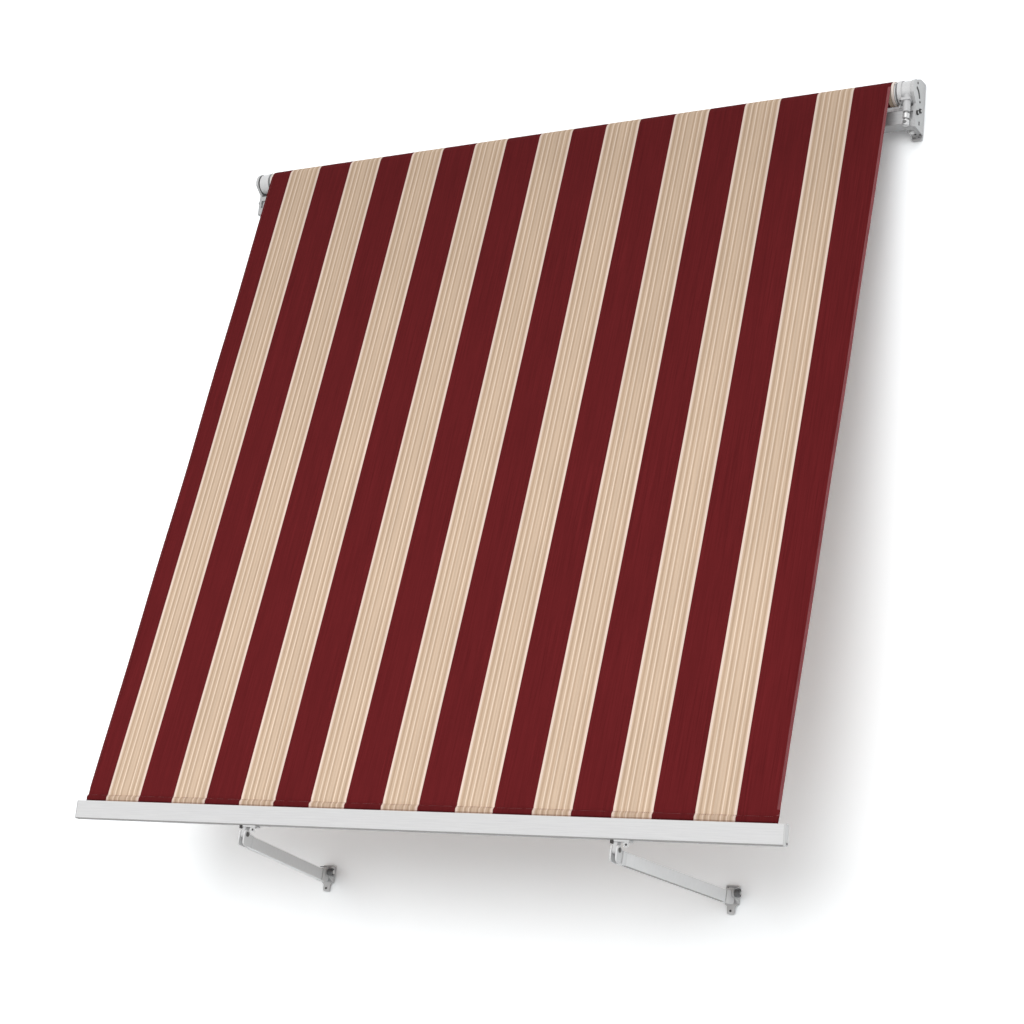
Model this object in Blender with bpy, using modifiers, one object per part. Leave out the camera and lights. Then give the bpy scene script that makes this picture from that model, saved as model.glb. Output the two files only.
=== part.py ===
"""Fabric awning with drop arms: a striped sheet on a cranked roller, held off the wall by two arms.

Metres, +Z up. X runs along the wall, -Y points away from it. The origin lies on the wall face of
the left end bracket, level with the middle of the square support bar.
"""
import bpy
import bmesh
from math import acos, atan, atan2, cos, hypot, pi, radians, sin, tan
from mathutils import Matrix, Vector

# Driving dimensions, in metres and degrees

# Striped sheet
FABRIC_WIDTH = 1.934
FABRIC_THICKNESS = 0.0008
FABRIC_TILT = radians(12.0)
SHEET_DROP = 1.979
STRIPE_PITCH = 0.104
FIRST_STRIPE = 0.0655

# Roller
TUBE_RADIUS = 0.029
TUBE_WALL = 0.0015
TUBE_OVERHANG = 0.008
TUBE_GROOVE_DEPTH = 0.005
TUBE_GROOVE_WIDTH = 0.007
ROLL_TURNS = 2.0
TURN_GAP = 0.0003
ROLLER_OUT = 0.061
ROLLER_UP = 0.064
PLUG_FLANGE = 0.003
PLUG_LENGTH = 0.024
SHAFT_RADIUS = 0.006

# Square support bar
BAR_SIDE = 0.040
BAR_WALL = 0.002
BAR_CORNER = 0.003
BAR_OFF_WALL = 0.017

# End brackets
BRACKET_WIDTH = 0.036
BRACKET_GAP = 0.024
FLANGE_THICKNESS = 0.006
FLANGE_TOP = 0.113
FLANGE_WIDTH = 0.029
SEAT_WIDTH = 0.028
FLANGE_BOTTOM = -0.045
WEB_THICKNESS = 0.008
BOSS_RADIUS = 0.031
JAW_THICKNESS = 0.006
LOWER_JAW = 0.013
LIP_THICKNESS = 0.006
LIP_HEIGHT = 0.009
WALL_HOLE_RADIUS = 0.0034
SLOT_RADIUS = 0.025
SLOT_MIDDLE = (-0.068, 0.048)
SLOT_WIDTH = 0.006
LOCK_BOLT_RADIUS = 0.004
LOCK_BOLT_HEAD = 0.0065

# Winch and left bearing
DRUM_RADIUS = 0.029
DRUM_WALL = 0.003
DRUM_END_WALL = 0.004
DRUM_START = 0.016
COVER_PLATE = 0.0025
COVER_RIM = 0.011
COVER_TAB = 0.020
BUSH_WALL = 0.003
WHEEL_TEETH = 12
GEAR_MODULE = 0.00175
TOOTH_HEIGHT = 0.0015
TOOTH_ROOT = 0.0020
TOOTH_BACKLASH = 0.0005
TOOTH_FLANK = radians(20.0)
WHEEL_FACE = 0.008
WORM_PITCH_RADIUS = 0.0055
WORM_TURNS = 4
WORM_PLACE = 0.040
SPINDLE_RADIUS = 0.004
STEM_RADIUS = 0.0095
STEM_LENGTH = 0.033
EYE_RADIUS = 0.0088
EYE_NECK = 0.0052
EYE_NECK_LENGTH = 0.0045
EYE_BLOCK = 0.014
EYE_HOLE_RADIUS = 0.0045

# Front bar
FRONT_BAR_HEIGHT = 0.048
FRONT_BAR_DEPTH = 0.022
FRONT_BAR_WALL = 0.002
FRONT_BAR_CORNER = 0.004
FRONT_BAR_OVERHANG = 0.022
END_CAP_THICKNESS = 0.003
KEDER_SLOT = 0.0032
KEDER_LIP = 0.0025
KEDER_RADIUS = 0.0046
HEM_ROD_RADIUS = 0.0026
GROOVE_OPENING = 0.006
GROOVE_LIP = 0.002
GROOVE_WIDTH = 0.012
GROOVE_DEPTH = 0.004

# Arms
ARM_FRONT_PIN_DROP = 0.0225
ARM_FRONT_PIN_OUT = 0.0048
ARM_WALL_PIN_OUT = 0.032
ARM_WALL_PIN_BELOW = 0.0347
LEFT_ARM_PLACE = -0.443
RIGHT_ARM_PLACE = 0.585
ARM_TOE_OUT = 0.075
ARM_TUBE_HEIGHT = 0.030
ARM_TUBE_WIDTH = 0.015
ARM_TUBE_WALL = 0.0015
ARM_TUBE_OFFSET = 0.013
ARM_END_LENGTH = 0.032
ARM_END_RADIUS = 0.011
ARM_END_OVERLAP = 0.014
ARM_TONGUE = 0.010
FORK_CHEEK = 0.004
PIN_RADIUS = 0.004
PIN_HEAD = 0.0065
ARM_EAR = 0.005
ARM_PLATE_WIDTH = 0.034
ARM_PLATE_RISE = 0.021
ARM_PLATE_DROP = 0.028
ARM_PLATE_SHIFT = 0.010
ARM_TAB_WIDTH = 0.021
ARM_TAB_DROP = 0.050
ARM_PLATE_THICKNESS = 0.005
ARM_HOLE_PLACE = 0.041
FITTING_BASE = 0.004
FITTING_EAR = 0.034
EAR_SCREW_PLACE = 0.025
SPRING_WIRE = 0.0013
SPRING_RADIUS = 0.0085
SPRING_TURNS = 4

# Running clearance between neighbours
GAP = 0.0003

# Places worked out from the driving dimensions

FABRIC_LEFT = BRACKET_WIDTH / 2 + BRACKET_GAP
FABRIC_RIGHT = FABRIC_LEFT + FABRIC_WIDTH
MIDDLE = (FABRIC_LEFT + FABRIC_RIGHT) / 2
AXIS_Y = -ROLLER_OUT
AXIS_Z = ROLLER_UP
TURN_PITCH = FABRIC_THICKNESS + TURN_GAP
ROLL_RADIUS = TUBE_RADIUS + GAP + ROLL_TURNS * TURN_PITCH + FABRIC_THICKNESS
BAR_BACK = -BAR_OFF_WALL
BAR_FRONT = BAR_BACK - BAR_SIDE
BAR_MIDDLE = (BAR_BACK + BAR_FRONT) / 2
WEB_OUTER = BRACKET_WIDTH / 2
ROD_DEPTH = KEDER_LIP + KEDER_RADIUS - 0.0004
RIM_INNER = DRUM_RADIUS + GAP
GEAR_PITCH = pi * GEAR_MODULE
WHEEL_PITCH_RADIUS = WHEEL_TEETH * GEAR_MODULE / 2
WORM_OFFSET = WHEEL_PITCH_RADIUS + WORM_PITCH_RADIUS
WORM_X = FABRIC_RIGHT + WORM_PLACE
WORM_Y = AXIS_Y - WORM_OFFSET
STEM_BOTTOM = AXIS_Z - DRUM_RADIUS - STEM_LENGTH
EYE_Z = STEM_BOTTOM - GAP - 2 * EYE_NECK_LENGTH - 1.5 * EYE_BLOCK
# The sheet leaves the roll at the point where its own slope is tangent to it
TANGENT_RADIUS = ROLL_RADIUS - FABRIC_THICKNESS / 2
DOWN = Vector((0, -sin(FABRIC_TILT), -cos(FABRIC_TILT)))
OUT = Vector((0, -cos(FABRIC_TILT), sin(FABRIC_TILT)))
TANGENT = Vector((0, AXIS_Y, AXIS_Z)) + OUT * TANGENT_RADIUS
BAR_TOP = TANGENT + DOWN * SHEET_DROP
BAR_DOWN = Vector((0, 0, -1))
BAR_OUT = Vector((0, -1, 0))
FRONT_PIN = BAR_TOP + BAR_DOWN * (FRONT_BAR_HEIGHT + ARM_FRONT_PIN_DROP) + BAR_OUT * ARM_FRONT_PIN_OUT
WALL_PIN = Vector((0, -ARM_WALL_PIN_OUT, FRONT_PIN.z - ARM_WALL_PIN_BELOW))

SMOOTH_ANGLE = radians(32)


# Start from an empty file, with one collection for the awning and one for its cutters

for old in list(bpy.data.objects):
    bpy.data.objects.remove(old, do_unlink=True)
PARTS = bpy.data.collections.new("fabric_awning")
CUTTERS = bpy.data.collections.new("cutters")
bpy.context.scene.collection.children.link(PARTS)
bpy.context.scene.collection.children.link(CUTTERS)


def material(name, colour, roughness, metallic):
    made = bpy.data.materials.get(name) or bpy.data.materials.new(name)
    made.use_nodes = True
    shader = made.node_tree.nodes["Principled BSDF"]
    shader.inputs["Base Color"].default_value = (*colour, 1)
    shader.inputs["Roughness"].default_value = roughness
    shader.inputs["Metallic"].default_value = metallic
    return made


CAST = material("cast_aluminium", (0.62, 0.62, 0.62), 0.45, 0.6)
COATED = material("coated_aluminium", (0.70, 0.70, 0.69), 0.40, 0.1)
ARM_FINISH = material("anodised_aluminium", (0.58, 0.58, 0.58), 0.35, 0.5)
STEEL = material("zinc_plated_steel", (0.50, 0.50, 0.50), 0.35, 0.9)
GALVANISED = material("galvanised_steel", (0.36, 0.36, 0.36), 0.45, 0.7)
SPRING_STEEL = material("spring_steel", (0.12, 0.12, 0.12), 0.40, 0.8)
GREY_PLASTIC = material("grey_plastic", (0.45, 0.45, 0.45), 0.50, 0.0)
BRASS = material("gear_bronze", (0.55, 0.38, 0.16), 0.35, 0.9)
RED_CLOTH = material("red_cloth", (0.13, 0.010, 0.014), 0.90, 0.0)
BEIGE_CLOTH = material("beige_cloth", (0.62, 0.44, 0.31), 0.90, 0.0)


# Shapes

def add(name, mesh, finish, collection=PARTS):
    item = bpy.data.objects.new(name, mesh)
    collection.objects.link(item)
    mesh.materials.clear()
    mesh.materials.append(finish)
    return item


def outline_solid(name, rings, low, high, finish, placing, collection=PARTS):
    """A flat outline with its holes, extruded from low to high along the placing's own Z."""
    curve = bpy.data.curves.new(name, "CURVE")
    curve.dimensions = "2D"
    curve.fill_mode = "BOTH"
    curve.extrude = (high - low) / 2
    for ring in map(without_repeats, rings):
        spline = curve.splines.new("POLY")
        spline.points.add(len(ring) - 1)
        for point, (across, along) in zip(spline.points, ring):
            point.co = (across, along, 0, 1)
        spline.use_cyclic_u = True
    drawn = bpy.data.objects.new(name + "_outline", curve)
    CUTTERS.objects.link(drawn)
    bpy.context.view_layer.update()
    mesh = bpy.data.meshes.new_from_object(drawn.evaluated_get(bpy.context.evaluated_depsgraph_get()))
    bpy.data.objects.remove(drawn)
    mesh.name = name
    mesh.transform(placing @ Matrix.Translation((0, 0, (low + high) / 2)))
    weld(mesh)
    return add(name, mesh, finish, collection)


def without_repeats(ring):
    """The same outline with each corner once, where two stretches meet in one point."""
    return [spot for spot, before in zip(ring, ring[-1:] + ring[:-1])
            if hypot(spot[0] - before[0], spot[1] - before[1]) > 0.00002]


def weld(mesh):
    shape = bmesh.new()
    shape.from_mesh(mesh)
    bmesh.ops.remove_doubles(shape, verts=shape.verts, dist=0.00001)
    bmesh.ops.recalc_face_normals(shape, faces=shape.faces)
    shape.to_mesh(mesh)
    shape.free()
    mesh.shade_smooth()
    mesh.set_sharp_from_angle(angle=SMOOTH_ANGLE)


# Outlines are drawn in (Y, Z) and extruded along X, or drawn in (X, Z) and extruded along -Y
ALONG_X = Matrix(((0, 0, 1, 0), (1, 0, 0, 0), (0, 1, 0, 0), (0, 0, 0, 1)))
ALONG_OUT = Matrix(((1, 0, 0, 0), (0, 0, -1, 0), (0, 1, 0, 0), (0, 0, 0, 1)))


def across_wall(name, rings, low, high, finish, collection=PARTS):
    return outline_solid(name, rings, low, high, finish, ALONG_X, collection)


def off_wall(name, rings, low, high, finish, collection=PARTS):
    return outline_solid(name, rings, low, high, finish, ALONG_OUT, collection)


def box(name, low, high, finish, collection=PARTS):
    shape = bmesh.new()
    bmesh.ops.create_cube(shape, size=1)
    size = Vector(high) - Vector(low)
    middle = (Vector(high) + Vector(low)) / 2
    bmesh.ops.scale(shape, vec=size, verts=shape.verts)
    bmesh.ops.translate(shape, vec=middle, verts=shape.verts)
    mesh = bpy.data.meshes.new(name)
    shape.to_mesh(mesh)
    shape.free()
    return add(name, mesh, finish, collection)


def turned(name, profile, start, direction, finish, steps=32, collection=PARTS):
    """A profile of (distance, radius) points, turned round the axis that leaves start along direction."""
    shape = bmesh.new()
    corners = [shape.verts.new((radius, 0, distance)) for distance, radius in profile]
    rims = [shape.edges.new(pair) for pair in zip(corners, corners[1:])]
    if profile[0][1] > 0 and profile[-1][1] > 0:
        rims.append(shape.edges.new((corners[-1], corners[0])))
    bmesh.ops.spin(shape, geom=corners + rims, cent=(0, 0, 0), axis=(0, 0, 1), angle=2 * pi,
                   steps=steps, use_merge=True)
    bmesh.ops.remove_doubles(shape, verts=shape.verts, dist=0.00001)
    middles = [corner for corner in shape.verts if hypot(corner.co.x, corner.co.y) < 0.00001]
    bmesh.ops.dissolve_verts(shape, verts=middles)
    mesh = bpy.data.meshes.new(name)
    shape.to_mesh(mesh)
    shape.free()
    along = Vector(direction).normalized()
    across = (Vector((0, 1, 0)) if abs(along.x) > 0.9 else Vector((1, 0, 0))).cross(along).normalized()
    turn = Matrix((across, along.cross(across), along)).transposed().to_4x4()
    mesh.transform(Matrix.Translation(start) @ turn)
    weld(mesh)
    return add(name, mesh, finish, collection)


def rod(name, radius, start, end, finish, steps=32, collection=PARTS):
    length = (Vector(end) - Vector(start)).length
    profile = [(0, 0), (0, radius), (length, radius), (length, 0)]
    return turned(name, profile, start, Vector(end) - Vector(start), finish, steps, collection)


def combine(target, tool, operation):
    """A Boolean with a hidden tool: DIFFERENCE takes it away, UNION makes it one body with the target."""
    for shelf in list(tool.users_collection):
        shelf.objects.unlink(tool)
    CUTTERS.objects.link(tool)
    tool.hide_render = True
    tool.display_type = "WIRE"
    step = target.modifiers.new(tool.name, "BOOLEAN")
    step.operation = operation
    step.solver = "EXACT"
    step.object = tool
    return target


def cut(target, tool):
    return combine(target, tool, "DIFFERENCE")


def fuse(target, tool):
    return combine(target, tool, "UNION")


def arc(middle, radius, start, end, steps=8):
    """Points of a round stretch, with its angles in degrees."""
    turn = [radians(start + (end - start) * i / steps) for i in range(steps + 1)]
    return [(middle[0] + radius * cos(a), middle[1] + radius * sin(a)) for a in turn]


def circle(middle, radius, steps=32):
    return arc(middle, radius, 0, 360 - 360 / steps, steps - 1)


def rounded_rectangle(low, high, radius, steps=3):
    (left, bottom), (right, top) = low, high
    return (arc((right - radius, top - radius), radius, 0, 90, steps)
            + arc((left + radius, top - radius), radius, 90, 180, steps)
            + arc((left + radius, bottom + radius), radius, 180, 270, steps)
            + arc((right - radius, bottom + radius), radius, 270, 360, steps))


def on_sheet(ring):
    """Outline points given as (out of the sheet, down the sheet), placed in (Y, Z)."""
    spots = [TANGENT + OUT * out + DOWN * down for out, down in ring]
    return [(spot.y, spot.z) for spot in spots]


def on_bar(ring):
    """The same below the front bar's top, where the bar and the hem in it hang plumb."""
    spots = [BAR_TOP + BAR_OUT * out + BAR_DOWN * (down - SHEET_DROP) for out, down in ring]
    return [(spot.y, spot.z) for spot in spots]


def pivot(name, place, pieces):
    """An empty on the joint's axis that carries the pieces that turn about it."""
    empty = bpy.data.objects.new(name, None)
    empty.empty_display_size = 0.03
    empty.location = place
    PARTS.objects.link(empty)
    bpy.context.view_layer.update()
    for piece in pieces:
        piece.parent = empty
        piece.matrix_parent_inverse = empty.matrix_world.inverted()
    return empty


def sides():
    """The two ends: a name, the fabric's edge there and the way that leads off it."""
    return (("left", FABRIC_LEFT, -1), ("right", FABRIC_RIGHT, 1))


def span(edge, way, near, far):
    """The X range between two distances past the fabric's edge, lowest first."""
    return sorted((edge + way * near, edge + way * far))


# Support bar, a square tube seated in both end brackets

def make_support_bar():
    half = BAR_SIDE / 2
    outer = rounded_rectangle((BAR_FRONT, -half), (BAR_BACK, half), BAR_CORNER)
    inner = rounded_rectangle((BAR_FRONT + BAR_WALL, -half + BAR_WALL),
                              (BAR_BACK - BAR_WALL, half - BAR_WALL), BAR_CORNER - BAR_WALL)
    reach = BRACKET_GAP + BRACKET_WIDTH - WEB_THICKNESS - GAP
    return across_wall("support_bar", [outer, inner], FABRIC_LEFT - reach, FABRIC_RIGHT + reach,
                       GALVANISED)


# End brackets: wall flange, hooked seat for the bar and web with the roller's boss

def seat_outline():
    """The C-shaped seat: a saddle behind the bar and two hooked jaws round it, the lower one deeper."""
    half = BAR_SIDE / 2 + GAP
    inside = BAR_FRONT - GAP
    front = inside - LIP_THICKNESS
    root = -FLANGE_THICKNESS / 2
    ring = []
    for way, jaw in ((1, JAW_THICKNESS), (-1, LOWER_JAW)):
        top = half + jaw
        line = [(root, top + 0.004), (-FLANGE_THICKNESS, top + 0.004)]
        line += arc((-FLANGE_THICKNESS - 0.004, top + 0.004), 0.004, 0, -90, 4)
        line += arc((front + 0.003, top - 0.003), 0.003, 90, 180, 4)
        line += [(front, half - LIP_HEIGHT), (inside, half - LIP_HEIGHT), (inside, half),
                 (BAR_BACK + GAP, half)]
        line = [(across, way * along) for across, along in line]
        ring += line if way == 1 else line[::-1]
    return ring


def web_outline():
    """The web runs from the flange forward to a round boss about the roller's axis."""
    front = BAR_FRONT - GAP - LIP_THICKNESS
    low = -BAR_SIDE / 2 - GAP - LOWER_JAW
    root = -FLANGE_THICKNESS / 4
    top = FLANGE_TOP - 0.002
    boss = arc((AXIS_Y, AXIS_Z), BOSS_RADIUS, 100, 205, 12)
    return [(root, low), (root, top), (-0.012, top), (-0.039, top - 0.003)] + boss + [(front, 0.030), (front, low)]


def make_end_bracket(side, edge, way):
    outer = BRACKET_GAP + BRACKET_WIDTH
    middle = edge + way * (BRACKET_GAP + (BRACKET_WIDTH - WEB_THICKNESS) / 2)
    # The wall flange, with screw holes above and below the seat
    low, high = span(edge, way, outer - FLANGE_WIDTH, outer - 0.001)
    flange = rounded_rectangle((low, FLANGE_BOTTOM), (high, FLANGE_TOP), 0.003)
    spots = ((-0.0005, -0.038), (0.0135, -0.037), (0.004, 0.045), (0.004, 0.101))
    holes = [circle((middle + way * place, height), WALL_HOLE_RADIUS, 24) for place, height in spots]
    bracket = off_wall("end_bracket_" + side, [flange, *holes], 0, FLANGE_THICKNESS, CAST)
    low, high = span(edge, way, outer - SEAT_WIDTH, outer - WEB_THICKNESS / 2)
    fuse(bracket, across_wall("seat_" + side, [seat_outline()], low, high, CAST))
    # A curved slot and two holes round the boss take the screws that set the roller's end, and a
    # short slot looks in on the bar's end
    half_slot = SLOT_WIDTH / 2
    openings = [arc(SLOT_MIDDLE, SLOT_RADIUS + half_slot, 8, 86, 12)
                + arc(SLOT_MIDDLE, SLOT_RADIUS - half_slot, 86, 8, 12)]
    openings += [circle(spot, 0.0033, 16) for spot in ((-0.0595, 0.0877), (-0.0385, 0.0440))]
    openings.append(rounded_rectangle((-0.039, -0.020), (-0.035, -0.009), 0.0019, 3))
    low, high = span(edge, way, outer - WEB_THICKNESS, outer)
    fuse(bracket, across_wall("web_" + side, [web_outline(), *openings], low, high, CAST))
    # The lock bolt comes up through the lower jaw
    low, high = span(edge, way, outer - SEAT_WIDTH, outer - WEB_THICKNESS)
    spot = ((low + high) / 2, BAR_MIDDLE)
    below = -BAR_SIDE / 2 - GAP - LOWER_JAW
    cut(bracket, rod("bolt_hole_" + side, LOCK_BOLT_RADIUS + GAP, (*spot, below - 0.004),
                     (*spot, below + LOWER_JAW + 0.004), CAST, 20))
    bolt = [(0, 0), (0, LOCK_BOLT_HEAD), (0.0055, LOCK_BOLT_HEAD), (0.0055, LOCK_BOLT_RADIUS),
            (0.0055 + LOWER_JAW + GAP, LOCK_BOLT_RADIUS), (0.0055 + LOWER_JAW + GAP, 0)]
    turned("lock_bolt_" + side, bolt, (*spot, below - 0.0055 - GAP), (0, 0, 1), STEEL, 6)
    return bracket


# Roller: grooved tube, end plugs and the turns of cloth left on it

def grooved_circle(radius, steps=48):
    """A circle with the keder groove pressed into it at the back of the tube."""
    half = TUBE_GROOVE_WIDTH / 2
    edge = atan2(half, radius)
    turn = [edge + (2 * pi - 2 * edge) * i / steps for i in range(steps + 1)]
    ring = [(AXIS_Y + radius * cos(a), AXIS_Z + radius * sin(a)) for a in turn]
    deep = radius - TUBE_GROOVE_DEPTH
    return ring + [(AXIS_Y + deep, AXIS_Z - half), (AXIS_Y + deep, AXIS_Z + half)]


def inner_groove(radius, steps=48):
    """The tube's inside, which follows the groove one wall further in."""
    half = TUBE_GROOVE_WIDTH / 2 + TUBE_WALL
    edge = atan2(half, radius)
    turn = [edge + (2 * pi - 2 * edge) * i / steps for i in range(steps + 1)]
    ring = [(AXIS_Y + radius * cos(a), AXIS_Z + radius * sin(a)) for a in turn]
    deep = radius - TUBE_GROOVE_DEPTH
    return ring + [(AXIS_Y + deep, AXIS_Z - half), (AXIS_Y + deep, AXIS_Z + half)]


def make_tube():
    rings = [grooved_circle(TUBE_RADIUS), inner_groove(TUBE_RADIUS - TUBE_WALL)]
    return across_wall("roller_tube", rings, FABRIC_LEFT - TUBE_OVERHANG, FABRIC_RIGHT + TUBE_OVERHANG,
                       GALVANISED)


def make_plug(side, edge, way):
    """A moulded plug: flange against the tube's end, body inside it and shaft into the bearing."""
    body = TUBE_RADIUS - TUBE_WALL - TUBE_GROOVE_DEPTH - GAP
    start = TUBE_OVERHANG + GAP - PLUG_LENGTH
    flange = TUBE_OVERHANG + GAP
    end = BRACKET_GAP + BRACKET_WIDTH - WEB_THICKNESS - 2 * GAP
    profile = [(0, 0), (0, body), (flange - start, body), (flange - start, TUBE_RADIUS),
               (flange - start + PLUG_FLANGE, TUBE_RADIUS), (flange - start + PLUG_FLANGE, SHAFT_RADIUS),
               (end - start, SHAFT_RADIUS), (end - start, 0)]
    shaft_start = (edge + way * start, AXIS_Y, AXIS_Z)
    return turned("roller_plug_" + side, profile, shaft_start, (way, 0, 0), GREY_PLASTIC)


def spiral(offset, steps):
    """One face of the wound cloth, from the tangent point back over the top and inwards."""
    start = pi - FABRIC_TILT
    points = []
    for i in range(steps + 1):
        turn = 2 * pi * ROLL_TURNS * i / steps
        radius = ROLL_RADIUS - TURN_PITCH * turn / (2 * pi) - offset
        points.append((AXIS_Y + radius * cos(start - turn), AXIS_Z + radius * sin(start - turn)))
    return points


def make_wound_cloth():
    steps = int(36 * ROLL_TURNS)
    ring = spiral(0, steps) + list(reversed(spiral(FABRIC_THICKNESS, steps)))
    return across_wall("wound_cloth", [ring], FABRIC_LEFT, FABRIC_RIGHT, RED_CLOTH)


# Winch on the right: drum, cover, worm wheel, worm spindle and crank eye

def make_drum(name, edge, way, bevel):
    """A cup round the shaft's end, open towards the roller, with a bored wall against the bracket."""
    start = DRUM_START + COVER_PLATE + GAP
    length = BRACKET_GAP + BRACKET_WIDTH - WEB_THICKNESS - GAP - start
    inner = DRUM_RADIUS - DRUM_WALL
    seat = SHAFT_RADIUS + GAP + BUSH_WALL + GAP
    profile = [(0, inner), (0, DRUM_RADIUS), (length - bevel, DRUM_RADIUS), (length, DRUM_RADIUS - bevel),
               (length, seat), (length - DRUM_END_WALL, seat), (length - DRUM_END_WALL, inner)]
    place = (edge + way * start, AXIS_Y, AXIS_Z)
    return turned(name, profile, place, (way, 0, 0), CAST, 40)


def make_bush(side, edge, way):
    """The plain bush in the drum's end wall that the roller's shaft turns in."""
    inner = SHAFT_RADIUS + GAP
    end = BRACKET_GAP + BRACKET_WIDTH - WEB_THICKNESS - 2 * GAP
    low, high = span(edge, way, end - DRUM_END_WALL, end)
    profile = [(0, inner), (0, inner + BUSH_WALL), (high - low, inner + BUSH_WALL), (high - low, inner)]
    return turned("bearing_bush_" + side, profile, (low, AXIS_Y, AXIS_Z), (1, 0, 0), BRASS, 24)


def make_winch_housing():
    housing = make_drum("winch_housing", FABRIC_RIGHT, 1, 0.0008)
    low = AXIS_Z - DRUM_RADIUS
    back = FABRIC_RIGHT + BRACKET_GAP + BRACKET_WIDTH - WEB_THICKNESS - 0.001
    # The stem for the worm's spindle leaves the drum through a thin flat foot
    foot = box("winch_foot", (WORM_X - STEM_RADIUS - 0.003, WORM_Y - STEM_RADIUS - 0.0015, low - 0.003),
               (back, AXIS_Y + 0.012, low + 0.004), CAST)
    stem = rod("winch_stem", STEM_RADIUS, (WORM_X, WORM_Y, low + 0.0145), (WORM_X, WORM_Y, STEM_BOTTOM),
               CAST, 24)
    fuse(foot, stem)
    within = DRUM_RADIUS - DRUM_WALL / 2
    cut(foot, rod("foot_hollow", within, (WORM_X - 0.03, AXIS_Y, AXIS_Z), (WORM_X + 0.03, AXIS_Y, AXIS_Z),
                  CAST, 36))
    fuse(housing, foot)
    cut(housing, rod("stem_bore", SPINDLE_RADIUS + GAP, (WORM_X, WORM_Y, AXIS_Z),
                     (WORM_X, WORM_Y, STEM_BOTTOM - 0.004), CAST, 22))
    # The worm reaches into the drum through a wider mouth than the stem's bore
    cut(housing, rod("worm_mouth", WORM_PITCH_RADIUS + TOOTH_HEIGHT + 2 * GAP, (WORM_X, WORM_Y, AXIS_Z),
                     (WORM_X, WORM_Y, low - 0.0015), CAST, 26))
    return housing


def cover_rings():
    tab = 0.0035
    drop = -DRUM_RADIUS - COVER_TAB + 0.006
    rim = DRUM_RADIUS + GAP + 0.002
    side = acos(tab / rim) * 180 / pi
    ring = arc((AXIS_Y, AXIS_Z), rim, -side, 360 - (180 - side), 36)
    return [ring + [(AXIS_Y - tab, AXIS_Z + drop), (AXIS_Y + tab, AXIS_Z + drop)]]


def make_cover(name, edge, way, finish):
    """The collar that closes the drum on the roller's side, with its setting tab below."""
    low, high = span(edge, way, DRUM_START, DRUM_START + COVER_RIM)
    cover = across_wall(name, cover_rings(), low, high, finish)
    low, high = span(edge, way, DRUM_START + COVER_PLATE, DRUM_START + COVER_RIM + 0.004)
    cut(cover, across_wall(name + "_inside", [circle((AXIS_Y, AXIS_Z), RIM_INNER, 40)], low, high, finish))
    low, high = span(edge, way, DRUM_START - 0.004, DRUM_START + COVER_RIM)
    cut(cover, across_wall(name + "_bore", [circle((AXIS_Y, AXIS_Z), SHAFT_RADIUS + 0.002, 32)],
                           low, high, finish))
    low, high = span(edge, way, DRUM_START + COVER_PLATE, DRUM_START + COVER_RIM + 0.004)
    tab = [(AXIS_Y - 0.02, AXIS_Z - RIM_INNER - 0.002), (AXIS_Y + 0.02, AXIS_Z - RIM_INNER - 0.002),
           (AXIS_Y + 0.02, AXIS_Z - RIM_INNER - 0.03), (AXIS_Y - 0.02, AXIS_Z - RIM_INNER - 0.03)]
    cut(cover, across_wall(name + "_tab", [tab], low, high, finish))
    return cover


def wheel_outline():
    """Straight-flanked teeth, narrower than the gap that they run in by the backlash."""
    half = GEAR_PITCH / 4 - TOOTH_BACKLASH / 2
    ring = []
    for tooth in range(WHEEL_TEETH):
        middle = pi + 2 * pi * tooth / WHEEL_TEETH
        for rise, way in ((-TOOTH_ROOT, -1), (TOOTH_HEIGHT, -1), (TOOTH_HEIGHT, 1), (-TOOTH_ROOT, 1)):
            radius = WHEEL_PITCH_RADIUS + rise
            angle = middle + way * (half - rise * tan(TOOTH_FLANK)) / radius
            ring.append((AXIS_Y + radius * cos(angle), AXIS_Z + radius * sin(angle)))
    return ring


def make_worm_wheel():
    low, high = WORM_X - WHEEL_FACE / 2, WORM_X + WHEEL_FACE / 2
    bore = circle((AXIS_Y, AXIS_Z), SHAFT_RADIUS + GAP, 24)
    wheel = across_wall("worm_wheel", [wheel_outline(), bore], low, high, BRASS)
    # The teeth lean with the worm's thread across the width of the wheel
    lead = atan(GEAR_PITCH / (2 * pi * WORM_PITCH_RADIUS))
    for corner in wheel.data.vertices:
        lean = (corner.co.x - WORM_X) * tan(lead) / WHEEL_PITCH_RADIUS
        arm = Matrix.Rotation(lean, 3, "X") @ (corner.co - Vector((0, AXIS_Y, AXIS_Z)))
        corner.co = arm + Vector((0, AXIS_Y, AXIS_Z))
    return wheel


def make_worm_spindle():
    core = WORM_PITCH_RADIUS - TOOTH_ROOT
    reach = WORM_TURNS * GEAR_PITCH / 2 + 0.001
    bottom = STEM_BOTTOM - GAP - EYE_NECK_LENGTH - EYE_BLOCK / 2
    top = AXIS_Z + reach
    profile = [(0, 0), (0, SPINDLE_RADIUS), (AXIS_Z - reach - bottom, SPINDLE_RADIUS),
               (AXIS_Z - reach - bottom, core), (top - bottom, core), (top - bottom, SPINDLE_RADIUS),
               (top - bottom + 0.003, SPINDLE_RADIUS), (top - bottom + 0.003, 0)]
    spindle = turned("worm_spindle", profile, (WORM_X, WORM_Y, bottom), (0, 0, 1), STEEL, 24)
    fuse(spindle, make_thread(core))
    return spindle


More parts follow.
